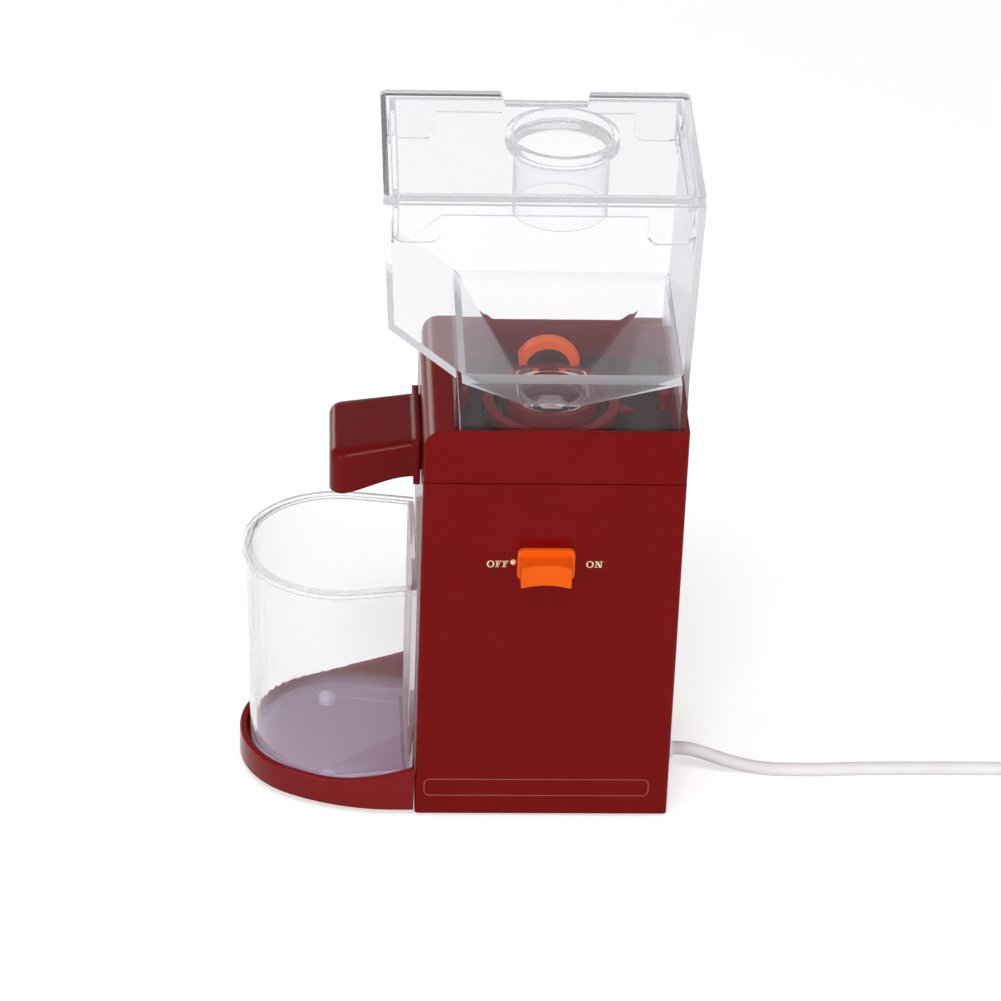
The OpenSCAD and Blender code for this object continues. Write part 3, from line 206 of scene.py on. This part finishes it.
class MillColours(PropertyGroup):
    """Colours of the finishes."""

    shell: FloatVectorProperty(
        name="Shell", description="Red of the mouldings", subtype="COLOR",
        default=(0.195, 0.0035, 0.0042), min=0, max=1)
    slider: FloatVectorProperty(
        name="Slider", description="Orange of the switch and the loop", subtype="COLOR",
        default=srgb(255, 100, 14), min=0, max=1)
    deck: FloatVectorProperty(
        name="Deck", description="Black of the deck and the inner mouldings", subtype="COLOR",
        default=srgb(52, 27, 34), min=0, max=1)
    cord: FloatVectorProperty(
        name="Cord", description="Pale grey of the cord and plug", subtype="COLOR",
        default=srgb(252, 245, 252), min=0, max=1)
    lettering: FloatVectorProperty(
        name="Lettering", description="Cream of the lettering", subtype="COLOR",
        default=srgb(255, 241, 190), min=0, max=1)
    dot: FloatVectorProperty(
        name="Dot", description="Peach of the dot beside the slider", subtype="COLOR",
        default=srgb(255, 216, 184), min=0, max=1)
    frame_print: FloatVectorProperty(
        name="Printed frame", description="Gold of the printed frame", subtype="COLOR",
        default=srgb(150, 82, 44), min=0, max=1)
    floor: FloatVectorProperty(
        name="Floor", description="Colour of the studio floor", subtype="COLOR",
        default=(0.74, 0.74, 0.735), min=0, max=1)


class StudioSettings(PropertyGroup):
    """Camera and lights."""

    azimuth: FloatProperty(
        name="Azimuth", description="Camera's turn about the machine",
        default=radians(-3.351), subtype="ANGLE")
    elevation: FloatProperty(
        name="Elevation", description="Camera's height angle",
        default=radians(31.939), subtype="ANGLE")
    roll: FloatProperty(
        name="Roll", description="Camera's tilt about its own axis",
        default=radians(2.171), subtype="ANGLE")
    distance: FloatProperty(
        name="Distance", description="Camera to the point it looks at",
        default=1.7408, unit="LENGTH")
    lens: FloatProperty(
        name="Lens", description="Focal length", default=160.61, unit="CAMERA")
    aim: FloatVectorProperty(
        name="Aim", description="Point looked at, in millimetres from the body's middle",
        default=(-17.99, 0, 120.66), subtype="XYZ")
    key_power: FloatProperty(
        name="Key light", description="Power of the lamp at the front left", default=11, unit="POWER")
    fill_power: FloatProperty(
        name="Fill light", description="Power of the lamp at the front right", default=9.6, unit="POWER")
    rim_power: FloatProperty(
        name="Rim light", description="Power of the lamp at the back left", default=4, unit="POWER")
    top_power: FloatProperty(
        name="Top light", description="Power of the lamp above the front", default=8, unit="POWER")
    room: FloatProperty(
        name="Room light", description="Strength of the even light from the room", default=0.3)
    room_seen: FloatProperty(
        name="Room in view", description="Brightness of the room's walls seen in gloss and clear plastic",
        default=0.95)
    ceiling_seen: FloatProperty(
        name="Ceiling in view",
        description="Brightness of the room's ceiling seen in gloss and clear plastic",
        default=0.45)
    floor_glow: FloatProperty(
        name="Floor glow", description="Brightness that lifts the floor to white in view",
        default=0.56)


def settings():
    """The three groups of settings."""
    scene = bpy.context.scene
    return scene.mill_sizes, scene.mill_colours, scene.mill_studio


class Nodes:
    """A material's or the world's node tree, with short calls to add and link nodes."""

    def __init__(self, owner):
        owner.use_nodes = True
        self.tree = owner.node_tree
        self.tree.nodes.clear()

    def add(self, kind, **values):
        node = self.tree.nodes.new("ShaderNode" + kind)
        for name, value in values.items():
            if name in node.inputs:
                node.inputs[name].default_value = value
            else:
                setattr(node, name, value)
        return node

    def link(self, source, target):
        self.tree.links.new(source, target)

    def noise(self, scale):
        """Noise in the piece's own metres."""
        coords = self.add("TexCoord")
        noise = self.add("TexNoise", Scale=scale, Detail=3.0, Roughness=0.5)
        self.link(coords.outputs["Object"], noise.inputs["Vector"])
        return noise.outputs["Fac"]

    def ranged(self, source, low, high):
        """A value of 0 to 1 mapped to another range."""
        node = self.add("MapRange", **{"To Min": low, "To Max": high})
        self.link(source, node.inputs["Value"])
        return node.outputs["Result"]

    def blend(self, share, first, second):
        """Two shaders blended by a number or an output."""
        node = self.add("MixShader")
        if isinstance(share, float):
            node.inputs[0].default_value = share
        else:
            self.link(share, node.inputs[0])
        self.link(first, node.inputs[1])
        self.link(second, node.inputs[2])
        return node.outputs[0]

    def mixed(self, source, first, second):
        """Two colours mixed by a value."""
        node = self.add("Mix", data_type="RGBA")
        node.inputs[6].default_value = (*first, 1)
        node.inputs[7].default_value = (*second, 1)
        self.link(source, node.inputs[0])
        return node.outputs[2]


def principled(name):
    """A new material with its shader and output."""
    material = bpy.data.materials.new(name)
    nodes = Nodes(material)
    shader = nodes.add("BsdfPrincipled")
    output = nodes.add("OutputMaterial")
    nodes.link(shader.outputs[0], output.inputs["Surface"])
    return material, nodes, shader


def shaded(colour, factor):
    """A colour made lighter or darker."""
    return tuple(min(1, v * factor) for v in colour[:3])


def bumped(nodes, shader, scale, distance, strength=0.5, edge=0.0):
    """Fine moulded texture on a shader, over edges that shine as if rounded."""
    bump = nodes.add("Bump", Strength=strength, Distance=distance)
    nodes.link(nodes.noise(scale), bump.inputs["Height"])
    if edge:
        rounded = nodes.add("Bevel", samples=SHINE_SAMPLES, Radius=edge)
        nodes.link(rounded.outputs[0], bump.inputs["Normal"])
    nodes.link(bump.outputs[0], shader.inputs["Normal"])


def moulded(name, colour, rough, specular=0.4, depth=GRAIN_DEPTH, edge=0.0):
    """Moulded plastic or rubber: faint colour drift, uneven gloss and a fine skin."""
    material, nodes, shader = principled(name)
    dark, light = shaded(colour, 1 - COLOUR_DRIFT), shaded(colour, 1 + COLOUR_DRIFT)
    nodes.link(nodes.mixed(nodes.noise(DRIFT_SCALE), dark, light), shader.inputs["Base Color"])
    smooth, dull = rough * (1 - GLOSS_DRIFT), rough * (1 + GLOSS_DRIFT)
    nodes.link(nodes.ranged(nodes.noise(GLOSS_SCALE), smooth, dull), shader.inputs["Roughness"])
    shader.inputs["Specular IOR Level"].default_value = specular
    bumped(nodes, shader, GRAIN_SCALE, depth, edge=edge)
    return material


def frosted_floor(nodes, shader, clarity, clear, low, high):
    """Frosts clear plastic between two levels, and gives its colour with a painted lilac in the frost that
    stands in for the red tray seen through it.
    """
    height = nodes.add("SeparateXYZ")
    nodes.link(nodes.add("TexCoord").outputs["Object"], height.inputs[0])
    under = nodes.add("MapRange", **{"From Min": low, "From Max": low - FROST_FADE_UNDER})
    over = nodes.add("MapRange", **{"From Min": high, "From Max": high + FROST_FADE_OVER})
    outside = nodes.add("Math", operation="MAXIMUM")
    for i, side in enumerate((under, over)):
        nodes.link(height.outputs["Z"], side.inputs["Value"])
        nodes.link(side.outputs["Result"], outside.inputs[i])
    nodes.link(nodes.ranged(outside.outputs[0], FROST_CLARITY, clarity), shader.inputs["Transmission Weight"])
    # Painted lilac where frosted, standing in for the red tray seen through the haze
    painted_through = nodes.add("Mix", data_type="RGBA")
    nodes.link(outside.outputs[0], painted_through.inputs[0])
    painted_through.inputs[6].default_value = PAINTED_THROUGH_LILAC
    nodes.link(clear, painted_through.inputs[7])
    return painted_through.outputs[2]


def clear_moulding(name, clarity, frosted=None):
    """Clear polished plastic that lets light into its inside, frosted between two levels if given. Rays it
    reflects see it partly as a painted light grey, which stands in for light carried along its walls.
    """
    material, nodes, shader = principled(name)
    clear = nodes.mixed(nodes.noise(60.0), *CLEAR_COLOURS)
    nodes.link(nodes.ranged(nodes.noise(120.0), 0.0, CLEAR_ROUGHEST), shader.inputs["Roughness"])
    shader.inputs["IOR"].default_value = CLEAR_IOR
    shader.inputs["Specular Tint"].default_value = CLEAR_SHINE
    shader.inputs["Transmission Weight"].default_value = clarity
    bumped(nodes, shader, CLEAR_WAVES, CLEAR_WAVE_DEPTH, 0.3)
    if frosted:
        clear = frosted_floor(nodes, shader, clarity, clear, *frosted)
    nodes.link(clear, shader.inputs["Base Color"])
    through = nodes.add("BsdfTransparent", Color=LET_THROUGH).outputs[0]
    # Painted light: reflected rays see a lit light grey in place of light carried along the walls
    near = nodes.add("BsdfDiffuse", Color=PIPED_LIGHT_GREY)
    far = nodes.add("BsdfTranslucent", Color=PIPED_LIGHT_GREY)
    both = nodes.add("AddShader")
    nodes.link(near.outputs[0], both.inputs[0])
    nodes.link(far.outputs[0], both.inputs[1])
    piped_light = nodes.blend(PIPED_LIGHT_SHARE, through, both.outputs[0])
    path = nodes.add("LightPath")
    surface = shader.outputs[0]
    swaps = ("Is Reflection Ray", piped_light), ("Is Diffuse Ray", through), ("Is Shadow Ray", through)
    for ray, instead in swaps:
        surface = nodes.blend(path.outputs[ray], surface, instead)
    nodes.link(surface, nodes.tree.nodes["Material Output"].inputs["Surface"])
    return material


def turned_metal(name, colour, rough):
    """Machined metal with fine tool lines."""
    material, nodes, shader = principled(name)
    coords = nodes.add("TexCoord")
    wave = nodes.add("TexWave", Scale=TOOL_LINES, Distortion=TOOL_WANDER, bands_direction="Z")
    nodes.link(coords.outputs["Object"], wave.inputs["Vector"])
    nodes.link(nodes.mixed(wave.outputs["Fac"], shaded(colour, 0.86), shaded(colour, 1.08)),
               shader.inputs["Base Color"])
    nodes.link(nodes.ranged(nodes.noise(500.0), rough * 0.75, rough * 1.25), shader.inputs["Roughness"])
    shader.inputs["Metallic"].default_value = 1
    bump = nodes.add("Bump", Strength=0.3, Distance=TOOL_DEPTH)
    nodes.link(wave.outputs["Fac"], bump.inputs["Height"])
    nodes.link(bump.outputs[0], shader.inputs["Normal"])
    return material


def printed(name, colour):
    """Screen-printed ink with a slightly broken cover."""
    material, nodes, shader = principled(name)
    nodes.link(nodes.mixed(nodes.noise(INK_SCALE), shaded(colour, 0.82), shaded(colour, 1.1)),
               shader.inputs["Base Color"])
    nodes.link(nodes.ranged(nodes.noise(900.0), 0.4, 0.6), shader.inputs["Roughness"])
    bumped(nodes, shader, INK_SCALE, INK_DEPTH)
    return material


FINISHES = {}


def make_finishes():
    """Every finish once, under the name of the record's slot or of the print."""
    sizes, colours, _ = settings()
    edge = sizes.shine_edge
    cup_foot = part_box("cup")[0].z
    frosted = cup_foot + FROST_LOW, cup_foot + FROST_HIGH
    # The chute is the shell's red painted darker: painted shade for its dimly lit top
    chute_painted_shade_red = shaded(colours.shell, 0.88)
    FINISHES.update({
        "red_plastic": moulded("red_shell", colours.shell, 0.18, specular=0.07, edge=edge),
        "red_chute_painted_shade": moulded("red_chute_painted_shade", chute_painted_shade_red, 0.16, specular=0.09, edge=sizes.chute_edge),
        # The tray is the shell's red lightened: painted light for its front that faces the key lamp, with
        # more gloss
        "red_gloss_painted_light": moulded("red_gloss_painted_light", shaded(colours.shell, 1.15), 0.16, specular=0.16),
        "dark_plastic": moulded("black_moulding", colours.deck, 0.45, specular=0.25),
        "clear_plastic": clear_moulding("clear_moulding", 0.994),
        "cup_plastic": clear_moulding("cup_moulding", 0.975, frosted),
        "orange_plastic": moulded("orange_moulding", colours.slider, 0.4, specular=0.12, edge=edge),
        "white_plastic": moulded("white_nylon", srgb(236, 236, 230), 0.4),
        "rubber_black": moulded("foot_rubber", srgb(38, 38, 40), 0.75, specular=0.2, depth=0.05 * MM),
        "cord_grey": moulded("cord_sheath", colours.cord, 0.5, specular=0.3),
        "steel": turned_metal("turned_steel", srgb(190, 192, 196), 0.3),
        "brass": turned_metal("turned_brass", srgb(206, 166, 84), 0.32),
        "copper": turned_metal("copper_wire", srgb(196, 116, 74), 0.38),
        "magnet": moulded("sintered_magnet", srgb(64, 64, 68), 0.6, depth=0.08 * MM),
        "lettering": printed("lettering_ink", colours.lettering),
        "dot": moulded("dot_moulding", colours.dot, 0.35),
        "frame_print": printed("frame_ink", colours.frame_print),
    })


def dress(obj, finish):
    """Gives a piece one finish in all its slots."""
    material = FINISHES[finish]
    if not obj.material_slots:
        obj.data.materials.append(material)
    for slot in obj.material_slots:
        slot.material = material


def soften(obj, width, segments, joined):
    """Rounds a solid's edges for the light to catch, with even shading on its flats."""
    weld = obj.modifiers.new("joined_faces", "WELD")
    weld.merge_threshold = joined
    bevel = obj.modifiers.new("soft_edges", "BEVEL")
    bevel.width = width
    bevel.segments = segments
    bevel.limit_method = "ANGLE"
    bevel.angle_limit = EDGE_ANGLE
    bevel.use_clamp_overlap = False
    bevel.miter_outer = "MITER_ARC"
    even = obj.modifiers.new("even_shading", "WEIGHTED_NORMAL")
    even.weight = FLAT_WEIGHT
    even.keep_sharp = False


def finish_nodes(names, width, segments=3, joined=JOIN):
    """Puts each named solid's own finish on it and softens its edges, unless the width is 0."""
    slots = {part["node"]: part["material_slot"] for part in frame["record"]["subparts"]}
    for name in names:
        dress(NODES[name], slots[name])
        if width:
            soften(NODES[name], width, segments, joined)


def add_piece(name, mesh, body):
    """Links a new piece and lets it ride on a body."""
    obj = bpy.data.objects.new(name, mesh)
    bpy.context.scene.collection.objects.link(obj)
    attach(obj, body)
    return obj


class StageOperator(Operator):
    """Makes the camera, the floor, the lamps and the room."""

    bl_idname = "mill.stage"
    bl_label = "Studio"

    def execute(self, context):
        self.camera(context.scene)
        self.floor()
        self.lamps()
        self.room(context.scene)
        context.scene.view_settings.view_transform = "Standard"
        return {"FINISHED"}

    def camera(self, scene):
        """A camera where the photo was taken from."""
        studio = settings()[2]
        flat = cos(studio.elevation)
        back = Vector((sin(studio.azimuth) * flat, -cos(studio.azimuth) * flat, sin(studio.elevation)))
        aim = place(*studio.aim)
        data = bpy.data.cameras.new("photo_camera")
        data.lens = studio.lens
        data.sensor_width = SENSOR_WIDTH
        data.sensor_fit = "HORIZONTAL"
        data.clip_end = VIEW_REACH
        camera = bpy.data.objects.new("photo_camera", data)
        scene.collection.objects.link(camera)
        turn = (-back).to_track_quat("-Z", "Y").to_matrix().to_4x4()
        camera.matrix_world = (
            Matrix.Translation(aim + back * studio.distance) @ turn @ Matrix.Rotation(studio.roll, 4, "Z"))
        scene.camera = camera

    def floor(self):
        """A wide flat floor just under the feet."""
        mesh = bpy.data.meshes.new("floor")
        signs = (-1, -1), (1, -1), (1, 1), (-1, 1)
        mesh.from_pydata([(x * FLOOR_REACH, y * FLOOR_REACH, 0) for x, y in signs], [], [(0, 1, 2, 3)])
        floor = bpy.data.objects.new("floor", mesh)
        bpy.context.scene.collection.objects.link(floor)
        floor.location.z = -FLOOR_DROP
        mesh.materials.append(self.floor_finish())

    def floor_finish(self):
        """Matt pale floor that keeps shadows and is lifted to white where it is seen."""
        _, colours, studio = settings()
        material = bpy.data.materials.new("studio_floor")
        nodes = Nodes(material)
        matt = nodes.add("BsdfDiffuse", Color=(*colours.floor, 1))
        glow = nodes.add("Emission", Color=(1, 1, 1, 1))
        both = nodes.add("AddShader")
        output = nodes.add("OutputMaterial")
        strength = nodes.add("Math", operation="MULTIPLY")
        strength.inputs[1].default_value = studio.floor_glow
        nodes.link(either_ray(nodes, *SEEN_BY), strength.inputs[0])
        nodes.link(strength.outputs[0], glow.inputs["Strength"])
        nodes.link(matt.outputs[0], both.inputs[0])
        nodes.link(glow.outputs[0], both.inputs[1])
        nodes.link(both.outputs[0], output.inputs["Surface"])
        return material

    def lamps(self):
        """Soft lamps round the machine."""
        studio = settings()[2]
        powers = studio.key_power, studio.fill_power, studio.rim_power, studio.top_power
        for (name, spot, size), power in zip(LAMPS, powers):
            lamp(name, spot, place(*LAMP_AIM), size, power)

    def room(self, scene):
        """A pale room that lights evenly and shows walls and ceiling in gloss and clear plastic."""
        world = bpy.data.worlds.new("studio_room")
        scene.world = world
        nodes = Nodes(world)
        studio = settings()[2]
        light = nodes.add("Background", Color=(1, 1, 1, 1))
        seen = either_ray(nodes, *SEEN_BY)
        height = nodes.add("SeparateXYZ")
        nodes.link(nodes.add("TexCoord").outputs["Generated"], height.inputs[0])
        walls = nodes.add("MapRange", **{
            "From Min": WALL_TOP, "From Max": CEILING_START,
            "To Min": studio.room_seen, "To Max": studio.ceiling_seen})
        nodes.link(height.outputs["Z"], walls.inputs["Value"])
        strength = nodes.add("Mix", data_type="FLOAT")
        strength.inputs[2].default_value = studio.room
        nodes.link(seen, strength.inputs[0])
        nodes.link(walls.outputs["Result"], strength.inputs[3])
        nodes.link(strength.outputs[0], light.inputs["Strength"])
        output = nodes.add("OutputWorld")
        nodes.link(light.outputs[0], output.inputs["Surface"])


def either_ray(nodes, first, *others):
    """1 for rays of any of the named kinds."""
    path = nodes.add("LightPath")
    found = path.outputs[first]
    for name in others:
        either = nodes.add("Math", operation="MAXIMUM")
        nodes.link(found, either.inputs[0])
        nodes.link(path.outputs[name], either.inputs[1])
        found = either.outputs[0]
    return found


def lamp(name, spot, aim, size, power):
    """A square soft lamp that looks at a point."""
    data = bpy.data.lights.new(name, "AREA")
    data.size = size
    data.energy = power
    obj = bpy.data.objects.new(name, data)
    bpy.context.scene.collection.objects.link(obj)
    obj.location = Vector(spot) + Vector((AXIS_X, AXIS_Y, 0))
    obj.rotation_euler = (aim - obj.location).to_track_quat("-Z", "Y").to_euler()


def smooth_route(points, steps):
    """Points along a smooth curve through the given ones."""
    made = []
    last = len(points) - 1
    for i in range(last):
        before, a = Vector(points[max(i - 1, 0)]), Vector(points[i])
        b, after = Vector(points[i + 1]), Vector(points[min(i + 2, last)])
        for k in range(steps):
            t = k / steps
            made.append(0.5 * (
                2 * a + (b - before) * t + (2 * before - 5 * a + 4 * b - after) * t * t
                + (3 * a - before - 3 * b + after) * t ** 3))
    return made


def coil_point(turn):
    """Centre of the cord after a number of turns of the coil."""
    half = COIL_TURNS / 2
    radius = COIL_RADIUS - COIL_PITCH * min(turn, COIL_TURNS - turn)
    s = max(0, min(1, (turn - half + COIL_CLIMB) / (2 * COIL_CLIMB)))
    angle = 2 * pi * turn - pi / 2
    return Vector((
        COIL_CENTRE[0] + radius * cos(angle), COIL_CENTRE[1] + radius * sin(angle),
        COIL_LOW + COIL_RISE * s * s * (3 - 2 * s)))


def cord_points():
    """The cord's whole centreline, in the row frame."""
    loops = [coil_point(i / COIL_STEPS) for i in range(COIL_TURNS * COIL_STEPS + 1)]
    end = Vector((*COIL_END, COIL_LOW + COIL_RISE))
    route = smooth_route(CORD_ROUTE, ROUTE_STEPS) + [Vector(CORD_ROUTE[-1])] + loops + [end]
    return [place(*p) for p in route]


def filled_mesh(name, curve):
    """The surface of a curve as a mesh."""
    holder = bpy.data.objects.new(name, curve)
    bpy.context.scene.collection.objects.link(holder)
    bpy.context.view_layer.update()
    evaluated = holder.evaluated_get(bpy.context.evaluated_depsgraph_get())
    mesh = bpy.data.meshes.new_from_object(evaluated)
    bpy.data.objects.remove(holder)
    bpy.data.curves.remove(curve)
    return mesh


class CordOperator(Operator):
    """Makes the mains cord with its coil, and finishes the gland, tie and plug."""

    bl_idname = "mill.cord"
    bl_label = "Mains cord"

    def execute(self, context):
        sizes = settings()[0]
        name = "mains_cord"
        points = cord_points()
        curve = bpy.data.curves.new(name, "CURVE")
        curve.dimensions = "3D"
        curve.bevel_depth = sizes.cord_diameter / 2
        curve.bevel_resolution = CORD_ROUNDNESS
        curve.use_fill_caps = True
        spline = curve.splines.new("POLY")
        spline.points.add(len(points) - 1)
        for target, point in zip(spline.points, points):
            target.co = (*point, 1)
        mesh = filled_mesh(name, curve)
        mesh.shade_smooth()
        cord = add_piece(name, mesh, "housing")
        dress(cord, "cord_grey")
        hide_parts("power_cord", "cord_coil")
        finish_nodes(["cord_gland", "plug_body"], sizes.plug_edge)
        finish_nodes(["coil_tie"], sizes.small_edge)
        finish_nodes(["plug_pins"], 0)
        return {"FINISHED"}


class ShellOperator(Operator):
    """Finishes the red mouldings, the base and the feet, with the tray's red lightened as painted light and
    the chute's red darkened as painted shade.
    """

    bl_idname = "mill.shell"
    bl_label = "Housing, tray and chute"

    def execute(self, context):
        sizes = settings()[0]
        finish_nodes(["lower_housing", "base_plate", "tray_screws"], 0)
        finish_nodes(["upper_housing", "chute"], sizes.small_edge)
        finish_nodes(["cup_tray"], sizes.tray_edge)
        # The tray's finish carries painted light
        dress(NODES["cup_tray"], "red_gloss_painted_light")
        # The chute's finish carries painted shade and wider shine edges
        dress(NODES["chute"], "red_chute_painted_shade")
        finish_nodes(["outlet_neck", "deck_plate", "rubber_feet"], sizes.small_edge)
        finish_nodes(["tray_feet"], sizes.fine_edge, joined=FOOT_JOIN)
        finish_nodes(["housing_screws", "deck_screws"], sizes.small_edge, 2)
        return {"FINISHED"}


class ClearOperator(Operator):
    """Finishes the clear hopper, lid and cup."""

    bl_idname = "mill.clear"
    bl_label = "Hopper, lid and cup"

    def execute(self, context):
        finish_nodes(["lid", "cup"], settings()[0].small_edge)
        finish_nodes(["hopper"], 0)
        dress(NODES["cup"], "cup_plastic")
        return {"FINISHED"}


class MillOperator(Operator):
    """Finishes the grind ring, the burrs and the mill's chamber."""

    bl_idname = "mill.grinder"
    bl_label = "Grinder"

    def execute(self, context):
        sizes = settings()[0]
        finish_nodes(["grind_ring"], sizes.fine_edge)
        finish_nodes(["throat_cup", "ring_loop"], sizes.small_edge)
        finish_nodes(
            ["burr_carrier", "chamber", "sweeper", "chamber_bush", "plate_bush"], sizes.small_edge, 2)
        finish_nodes(["upper_burr", "lower_burr", "burr_nut", "spindle", "chamber_screws"], 0)
        return {"FINISHED"}


class DriveOperator(Operator):
    """Finishes the gears and the motor."""

    bl_idname = "mill.drive"
    bl_label = "Gears and motor"

    def execute(self, context):
        edge = settings()[0].small_edge
        finish_nodes(["gear_plate", "motor_can", "end_bell", "armature", "switch_box"], edge, 2)
        finish_nodes([
            "fan", "drive_gear", "pinion", "plate_screws", "motor_screws", "motor_magnets", "motor_bushes",
            "brush_holders", "rotor_shaft", "windings", "commutator"], 0)
        return {"FINISHED"}


def ellipse(x, y, rx, ry, steps=40):
    """Points round an ellipse."""
    return [(x + rx * cos(2 * pi * i / steps), y + ry * sin(2 * pi * i / steps)) for i in range(steps)]


def letter_o():
    """Outlines of a capital O and its width."""
    width = 1.0
    middle = width / 2
    half = 0.53
    return [ellipse(middle, 0.5, middle, half), ellipse(middle, 0.5, middle - STEM, half - HAIR)], width


def foot_serif(left, right):
    """A flat serif across the foot of a stem."""
    return [(left - SERIF, 0), (right + SERIF, 0), (right + SERIF, HAIR), (left - SERIF, HAIR)]


def letter_f():
    """Outlines of a capital F and its width."""
    width = 0.82
    left, right = SERIF, SERIF + STEM
    middle, drop = 0.5, 0.26
    arm = 0.58
    outlines = [
        [(left, 0), (right, 0), (right, 1), (left, 1)],
        foot_serif(left, right),
        [(0, 1 - HAIR), (width, 1 - HAIR), (width, 1), (0, 1)],
        [(width - HAIR, 1 - drop), (width, 1 - drop), (width, 1), (width - 2 * HAIR, 1 - HAIR)],
        [(right, middle), (arm, middle), (arm, middle + HAIR), (right, middle + HAIR)],
        [(arm - HAIR, middle - SERIF), (arm, middle - SERIF), (arm, middle + HAIR + SERIF),
         (arm - HAIR, middle + HAIR + SERIF)],
    ]
    return outlines, width


def letter_n():
    """Outlines of a capital N and its width."""
    width = 1.1
    left, right = SERIF, width - SERIF
    slant = STEM * 1.3
    outlines = [
        [(left, 0), (left + HAIR, 0), (left + HAIR, 1), (left, 1)],
        foot_serif(left, left + HAIR),
        [(right - HAIR, 0), (right, 0), (right, 1), (right - HAIR, 1)],
        [(right - HAIR - SERIF, 1 - HAIR), (right + SERIF, 1 - HAIR), (right + SERIF, 1),
         (right - HAIR - SERIF, 1)],
        [(0, 1 - HAIR), (left + STEM, 1 - HAIR), (left + STEM, 1), (0, 1)],
        [(left, 1), (left + slant, 1), (right, 0), (right - slant, 0)],
    ]
    return outlines, width


LETTERS = {"O": letter_o, "F": letter_f, "N": letter_n}


def flat_print(name, groups, thickness):
    """A mesh of thin printed shapes on the front panel. Each group is filled by itself."""
    built = bmesh.new()
    for outlines in groups:
        curve = bpy.data.curves.new(name, "CURVE")
        curve.dimensions = "2D"
        curve.fill_mode = "BOTH"
        curve.extrude = thickness / 2
        for outline in outlines:
            spline = curve.splines.new("POLY")
            spline.points.add(len(outline) - 1)
            spline.use_cyclic_u = True
            for target, (x, z) in zip(spline.points, outline):
                target.co = (x, z, 0, 1)
        mesh = filled_mesh(name, curve)
        built.from_mesh(mesh)
        bpy.data.meshes.remove(mesh)
    stand = Matrix.Translation((0, FRONT_Y - thickness / 2, 0)) @ Matrix.Rotation(pi / 2, 4, "X")
    built.transform(stand)
    bmesh.ops.remove_doubles(built, verts=built.verts, dist=PRINT_JOIN)
    bmesh.ops.recalc_face_normals(built, faces=built.faces)
    mesh = bpy.data.meshes.new(name)
    built.to_mesh(mesh)
    built.free()
    return mesh


def word_groups(word, centre_x, centre_z, height):
    """A word's letters as groups of outlines, in the panel's X and Z."""
    shapes = [LETTERS[letter]() for letter in word]
    total = sum(width for _, width in shapes) + LETTER_GAP * (len(word) - 1)
    x = centre_x - total * height / 2
    z = centre_z - height / 2
    groups = []
    for letter, (outlines, width) in zip(word, shapes):
        placed = [[(x + u * height, z + v * height) for u, v in outline] for outline in outlines]
        groups += [placed] if letter == "O" else [[outline] for outline in placed]
        x += (width + LETTER_GAP) * height
    return groups


class SwitchOperator(Operator):
    """Finishes the slider and its dot, and letters the panel."""

    bl_idname = "mill.switch"
    bl_label = "Switch and lettering"

    off_x = -20.75
    on_x = 16.35
    letter_z = 119.3

    def execute(self, context):
        sizes = settings()[0]
        finish_nodes(["switch_knob", "switch_dot"], 0)
        dress(NODES["switch_dot"], "dot")
        for word, x in (("OFF", self.off_x), ("ON", self.on_x)):
            centre = place(x, 0, self.letter_z)
            groups = word_groups(word, centre.x, centre.z, sizes.cap_height)
            name = "switch_word_" + word.lower()
            mesh = flat_print(name, groups, sizes.print_thickness)
            dress(add_piece(name, mesh, "housing"), "lettering")
        return {"FINISHED"}


def rounded_frame(x0, x1, z0, z1, radius, steps=8):
    """Points round a rectangle with round corners."""
    corners = [(x1 - radius, z1 - radius, 0), (x0 + radius, z1 - radius, 1),
               (x0 + radius, z0 + radius, 2), (x1 - radius, z0 + radius, 3)]
    return [
        (x + radius * cos(pi / 2 * (quarter + k / steps)), z + radius * sin(pi / 2 * (quarter + k / steps)))
        for x, z, quarter in corners for k in range(steps + 1)]


class FramePrintOperator(Operator):
    """Prints the thin empty frame low on the front panel."""

    bl_idname = "mill.frame_print"
    bl_label = "Printed frame"

    left, right = -46.6, 42.3
    low, high = 10.5, 18.6
    corner = 2.4 * MM

    def execute(self, context):
        sizes = settings()[0]
        a = place(self.left, 0, self.low)
        b = place(self.right, 0, self.high)
        line = sizes.frame_line
        outer = rounded_frame(a.x, b.x, a.z, b.z, self.corner)
        inner = rounded_frame(a.x + line, b.x - line, a.z + line, b.z - line, self.corner - line)
        mesh = flat_print("front_frame", [[outer, inner]], sizes.print_thickness)
        dress(add_piece("front_frame", mesh, "housing"), "frame_print")
        return {"FINISHED"}


OPERATORS = (
    StageOperator, CordOperator, ShellOperator, ClearOperator, MillOperator, DriveOperator,
    SwitchOperator, FramePrintOperator,
)


class MillPanel(Panel):
    """Lists the steps in the sidebar."""

    bl_idname = "MILL_PT_looks"
    bl_label = "Grain mill"
    bl_space_type = "VIEW_3D"
    bl_region_type = "UI"
    bl_category = "Grain mill"

    def draw(self, context):
        for operator in OPERATORS:
            self.layout.operator(operator.bl_idname)


GROUPS = {"mill_sizes": MillSizes, "mill_colours": MillColours, "mill_studio": StudioSettings}


def register():
    for group in GROUPS.values():
        bpy.utils.register_class(group)
    for name, group in GROUPS.items():
        setattr(bpy.types.Scene, name, PointerProperty(type=group))
    for cls in (*OPERATORS, MillPanel):
        bpy.utils.register_class(cls)


def unregister():
    for cls in (MillPanel, *reversed(OPERATORS)):
        bpy.utils.unregister_class(cls)
    for name in GROUPS:
        delattr(bpy.types.Scene, name)
    for group in reversed(GROUPS.values()):
        bpy.utils.unregister_class(group)


def main():
    register()
    make_finishes()
    for operator in OPERATORS:
        family, name = operator.bl_idname.split(".")
        getattr(getattr(bpy.ops, family), name)()


if __name__ == "__main__":
    main()
